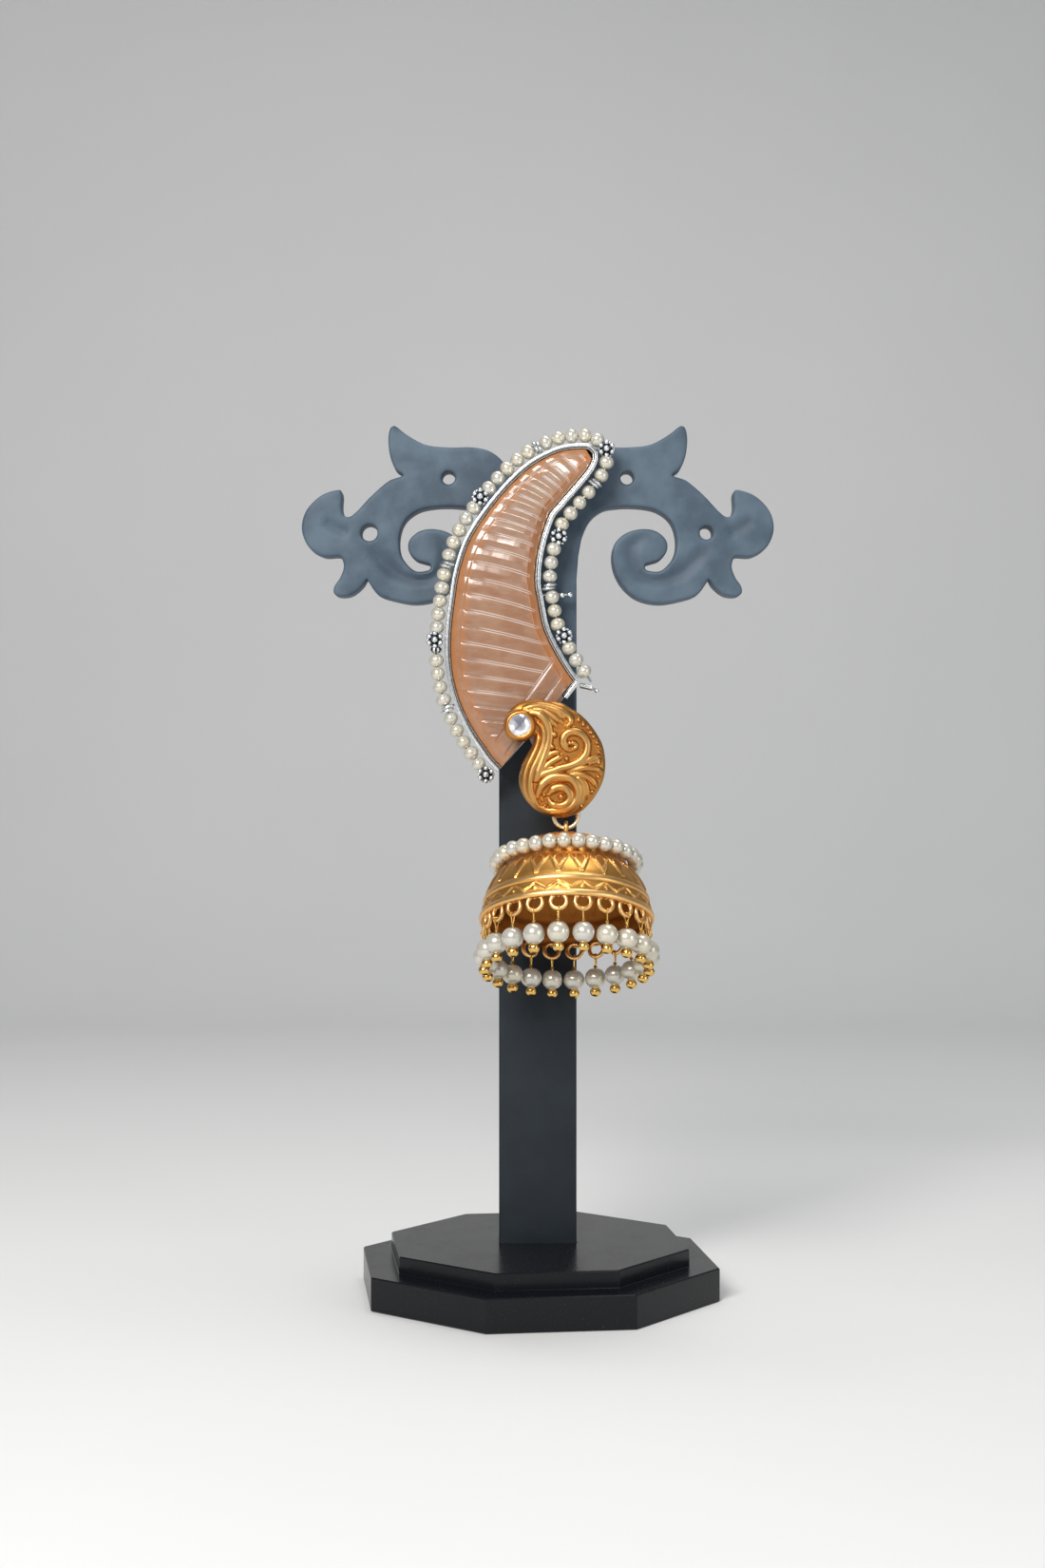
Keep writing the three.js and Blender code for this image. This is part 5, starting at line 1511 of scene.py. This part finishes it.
# %% Rim loops and top loop
RIM_LOOP_RADIUS, RIM_LOOP_WIRE, RIM_LOOP_INSET, RIM_LOOP_RAISED = 1.3, 0.38, 0.55, 0.5
drop_angles = -np.pi / 2 + 2 * np.pi * (np.arange(MOTIFS) + DROP_PHASE) / MOTIFS
loop_depth = BELL_HEIGHT + RIM_LOOP_RADIUS - RIM_LOOP_RAISED
loop_centres = on_bell(drop_angles, BELL_RADIUS - RIM_LOOP_INSET, loop_depth)


def torus(radius, tube, steps, sides):
    """Ring of wire round the z axis, painted pale with the highlight paint as painted highlight."""
    turn = np.linspace(0, 2 * np.pi, steps + 1)[:-1]
    line = radius * np.stack([np.cos(turn), np.sin(turn), 0 * turn], axis=1)
    return wire(line, tube, sides, up=(0, 0, 1), closed=True, paint=(0, 0.8, 0))


def bell_loops():
    """Copies of one ring with their axes pointing out from the bell, and the loop on the apex."""
    out = level_out(drop_angles)
    along = np.cross(out, bell_down)
    axes = np.stack([along, np.broadcast_to(bell_down, out.shape), out], axis=1)
    axes[:, 2] = np.cross(axes[:, 0], axes[:, 1])
    one = torus(RIM_LOOP_RADIUS, RIM_LOOP_WIRE, 32, 10)
    rims = copies(one, loop_centres, axes, seed=2)
    top_axes = np.array([[[0, 1, 0], [0, 0, 1], [1, 0, 0]]], float)
    top = copies(torus(RING_TO_LINK, LINK_WIRE, 40, 12), bell_pivot[None], top_axes)
    seams = on_bell(drop_angles, BELL_RADIUS - RIM_LOOP_INSET, BELL_HEIGHT - 0.05)
    solder = copies(bead(0.34, 0.5, 7, 10), seams)
    return joined(rims, top, solder)


make_piece("bell_loops", bell_loops(), BELL_GOLD, "jhumka", ["bell"])

# %% [markdown]
# ### Pearls round the shoulder
# Thirty-one seed pearls on a thread lie in the groove below the cap, touching one another.

# %% Shoulder pearls
SHOULDER_PEARLS = 31
SHOULDER_CIRCLE = 0.71 * BELL_RADIUS + 0.3 + SEED_PEARL / 2
SHOULDER_DEPTH = (0.3 + 0.43) / 2 * BELL_HEIGHT - 0.25


def shoulder_pearls():
    """Pearls with their drill holes along the thread, on a circle round the bell's axis."""
    angle = -np.pi / 2 + 2 * np.pi * (np.arange(SHOULDER_PEARLS) + 0.75) / SHOULDER_PEARLS
    places = on_bell(angle, SHOULDER_CIRCLE, SHOULDER_DEPTH)
    along = np.cross(level_out(angle), bell_down)
    lift = (chance(SHOULDER_PEARLS, 9)[:, None] - 0.5) * 0.25 * bell_down
    pitch = 2 * np.pi * SHOULDER_CIRCLE / SHOULDER_PEARLS
    one = bead(SEED_PEARL / 2 * 1.08, pitch * 1.05, 15, 20, hole=0.12)
    return copies(one, places + lift, uneven(framed(along, bell_down), SHOULDER_PEARLS, 0.07, 12), seed=3)


make_piece("shoulder_pearls", shoulder_pearls(), PEARL_LOOK, "jhumka", ["bell_pearl_ring"])

# %% [markdown]
# ### The drops
# A drop is one length of fine wire: looped through a rim loop, wrapped twice above the pearl, through the
# pearl and closed below it by a gold ball. The drops hang straight down whatever the bell's lean, and
# each is turned a little its own way.

# %% Where the drops hang
DROP_PEARL, DROP_BALL = 3.7, 1.8
PEARL_BELOW = 3.8
BALL_BELOW = PEARL_BELOW + DROP_PEARL / 2 + 0.3 * DROP_BALL
EYE_WIRE = 0.13
out_ways = level_out(drop_angles)
hang_ways = unit(np.array([0, 0, -1.0]) + out_ways * out_ways[:, 2:])
hang_points = loop_centres + hang_ways * RIM_LOOP_RADIUS
drop_nodes = [f"pearl_drop_{k + 1:02d}" for k in range(MOTIFS)]


def drop_axes(turned_by):
    """Upright axes: the first points level outwards from the bell, turned about z by its own angle."""
    heading = np.arctan2(out_ways[:, 1], out_ways[:, 0]) + turned_by
    first = np.stack([np.cos(heading), np.sin(heading), 0 * heading], axis=1)
    up = np.broadcast_to(np.array([0, 0, 1.0]), first.shape)
    return np.stack([first, np.cross(up, first), up], axis=1)


def drop_pearls():
    """Pearls below their hanging points, drilled upright."""
    places = hang_points - (0, 0, PEARL_BELOW)
    one = bead(DROP_PEARL / 2, DROP_PEARL * 0.98, 21, 28, hole=0.16)
    return copies(one, places, uneven(drop_axes(0), MOTIFS, 0.05, 15), seed=8)


make_piece("drop_pearls", drop_pearls(), PEARL_LOOK, "jhumka", drop_nodes)


# %% Wire and balls of the drops
def eye_and_wrap():
    """A long drop-shaped eye: over the rim loop's wire, down on both sides to a point, then two turns of
    wire and the stem, all about the hanging point."""
    turn = np.linspace(-0.32 * np.pi, 1.32 * np.pi, 22)
    bow = np.stack([0.52 * np.cos(turn), 0 * turn, 0.02 + 0.46 * np.sin(turn)], axis=1)
    legs = np.linspace(0, 1, 8)[1:, None]
    tip = np.array([0.05, 0, -1.66])
    left, right = bow[-1] + legs * (tip * (-1, 1, 1) - bow[-1]), bow[0] + legs * (tip - bow[0])
    eye = np.concatenate([right[::-1], bow, left])
    wrap_turn = np.linspace(0, 5 * np.pi, 36)
    fall = -1.6 - 0.36 * wrap_turn / (5 * np.pi)
    wrap = np.stack([0.24 * np.cos(wrap_turn), 0.24 * np.sin(wrap_turn), fall], axis=1)
    stem = np.array([[0, 0, -1.5], [0, 0, -1.9], [0, 0, -PEARL_BELOW], [0, 0, -BALL_BELOW]])
    side = (0, 1, 0)
    return joined(wire(eye, EYE_WIRE, 7, up=side), wire(wrap, 0.11, 6, up=(0, 0, 1)),
                  wire(stem, 0.14, 7, up=side))


def drop_metal():
    """Wires turned by chance about the upright, and the balls below the pearls."""
    turned_by = (chance(MOTIFS, 21) - 0.5) * 1.4
    wires = copies(eye_and_wrap(), hang_points, drop_axes(turned_by), seed=9)
    ball = bead(DROP_BALL * 0.54, DROP_BALL, 15, 20, hole=0.05)
    balls = copies(ball, hang_points - (0, 0, BALL_BELOW), drop_axes(0), seed=10)
    return joined(wires, balls)


make_piece("drop_metal", drop_metal(), BALL_GOLD, "jhumka", drop_nodes)

# %% [markdown]
# ## Floor, light and camera
# A pale sheet of paper runs under the stand and curves up behind it, so that there is no horizon. Three
# soft boxes light it: a large one from the upper left, which makes the bright spot on every pearl, a
# weaker one from the right and a strip above. The camera stands level with the middle of the earring.

# %% Paper sweep
def paper_look():
    """Matt off-white paper with a trace of cloudiness."""
    look = Finish("paper", Roughness=0.9)
    cloud = look.grain(0.01, 2.0, 0.5)
    return look.feed(Base_Color=look.blend(cloud, (0.74, 0.74, 0.73), (0.78, 0.78, 0.77)))


def paper_sweep():
    """A profile of floor, quarter circle and wall, carried sideways."""
    turn = np.linspace(-np.pi / 2, 0, 24)
    bend = np.stack([420 + 260 * np.cos(turn), 260 + 260 * np.sin(turn)], axis=1)
    profile = np.concatenate([[[-1500, 0], [0, 0]], bend, [[680, 1600]]])
    across = np.linspace(-1800, 1800, 5)
    rows = np.stack(np.broadcast_arrays(across[:, None], profile[None, :, 0], profile[None, :, 1]), axis=-1)
    faces = ring_faces(*rows.shape[:2], False, False)
    return Skin(rows.reshape(-1, 3), faces, np.zeros((0, 3), int), np.zeros((rows.size // 3, 3)))


sweep = paper_sweep()
paper_mesh = bpy.data.meshes.new("paper")
paper_mesh.from_pydata((sweep.points * MM).tolist(), [], sweep.quads.tolist())
paper_mesh.shade_smooth()
paper_mesh.materials.append(paper_look())
paper = bpy.data.objects.new("paper", paper_mesh)
bpy.context.scene.collection.objects.link(paper)


# %% Soft boxes
def aimed(place, target):
    """Rotation that turns -z from a place to a target, with y as far up as it can be."""
    return (Vector(target) - Vector(place)).to_track_quat("-Z", "Y").to_euler()


def soft_box(name, place_mm, size_mm, watts, tint):
    """Rectangular light that looks at the middle of the earring."""
    light = bpy.data.lights.new(name, "AREA")
    light.shape, light.size, light.size_y = "RECTANGLE", size_mm[0] * MM, size_mm[1] * MM
    light.energy, light.color = watts, tint
    lamp = bpy.data.objects.new(name, light)
    place = np.array(place_mm) * MM
    lamp.location = place
    lamp.rotation_euler = aimed(place, np.array([0, -10, 95]) * MM)
    bpy.context.scene.collection.objects.link(lamp)
    return lamp


soft_box("key_box", (-225, -530, 435), (300, 240), 4.6, (1.0, 0.985, 0.96))
soft_box("fill_box", (520, -420, 180), (300, 400), 0.9, (0.93, 0.96, 1.0))
soft_box("top_strip", (60, 60, 620), (420, 160), 1.3, (1.0, 1.0, 1.0))

world = bpy.data.worlds.new("studio")
bpy.context.scene.world = world
world.use_nodes = True
world.node_tree.nodes["Background"].inputs["Color"].default_value = (0.88, 0.92, 1.0, 1.0)
world.node_tree.nodes["Background"].inputs["Strength"].default_value = 0.2
bpy.context.scene.view_settings.view_transform = "Standard"

# %% Camera
# In the photograph a pixel is this many millimetres at the post, seen from this far away.
PIXEL_MM, CAMERA_DISTANCE = 0.17, 389.6
CAMERA_X, CAMERA_Z = -2.72, 90.5
IMAGE_HEIGHT = 1650
SENSOR_MM = 36.0
camera_data = bpy.data.cameras.new("camera")
camera_data.sensor_fit = "VERTICAL"
camera_data.sensor_width = camera_data.sensor_height = SENSOR_MM
camera_data.lens = SENSOR_MM * CAMERA_DISTANCE / (PIXEL_MM * IMAGE_HEIGHT)
camera_data.clip_start, camera_data.clip_end = 0.01, 20
camera = bpy.data.objects.new("camera", camera_data)
camera.location = np.array([CAMERA_X, -CAMERA_DISTANCE, CAMERA_Z]) * MM
camera.rotation_euler = (np.pi / 2, 0, 0)
bpy.context.scene.collection.objects.link(camera)
bpy.context.scene.camera = camera
print("lens:", round(camera_data.lens, 2), "mm")
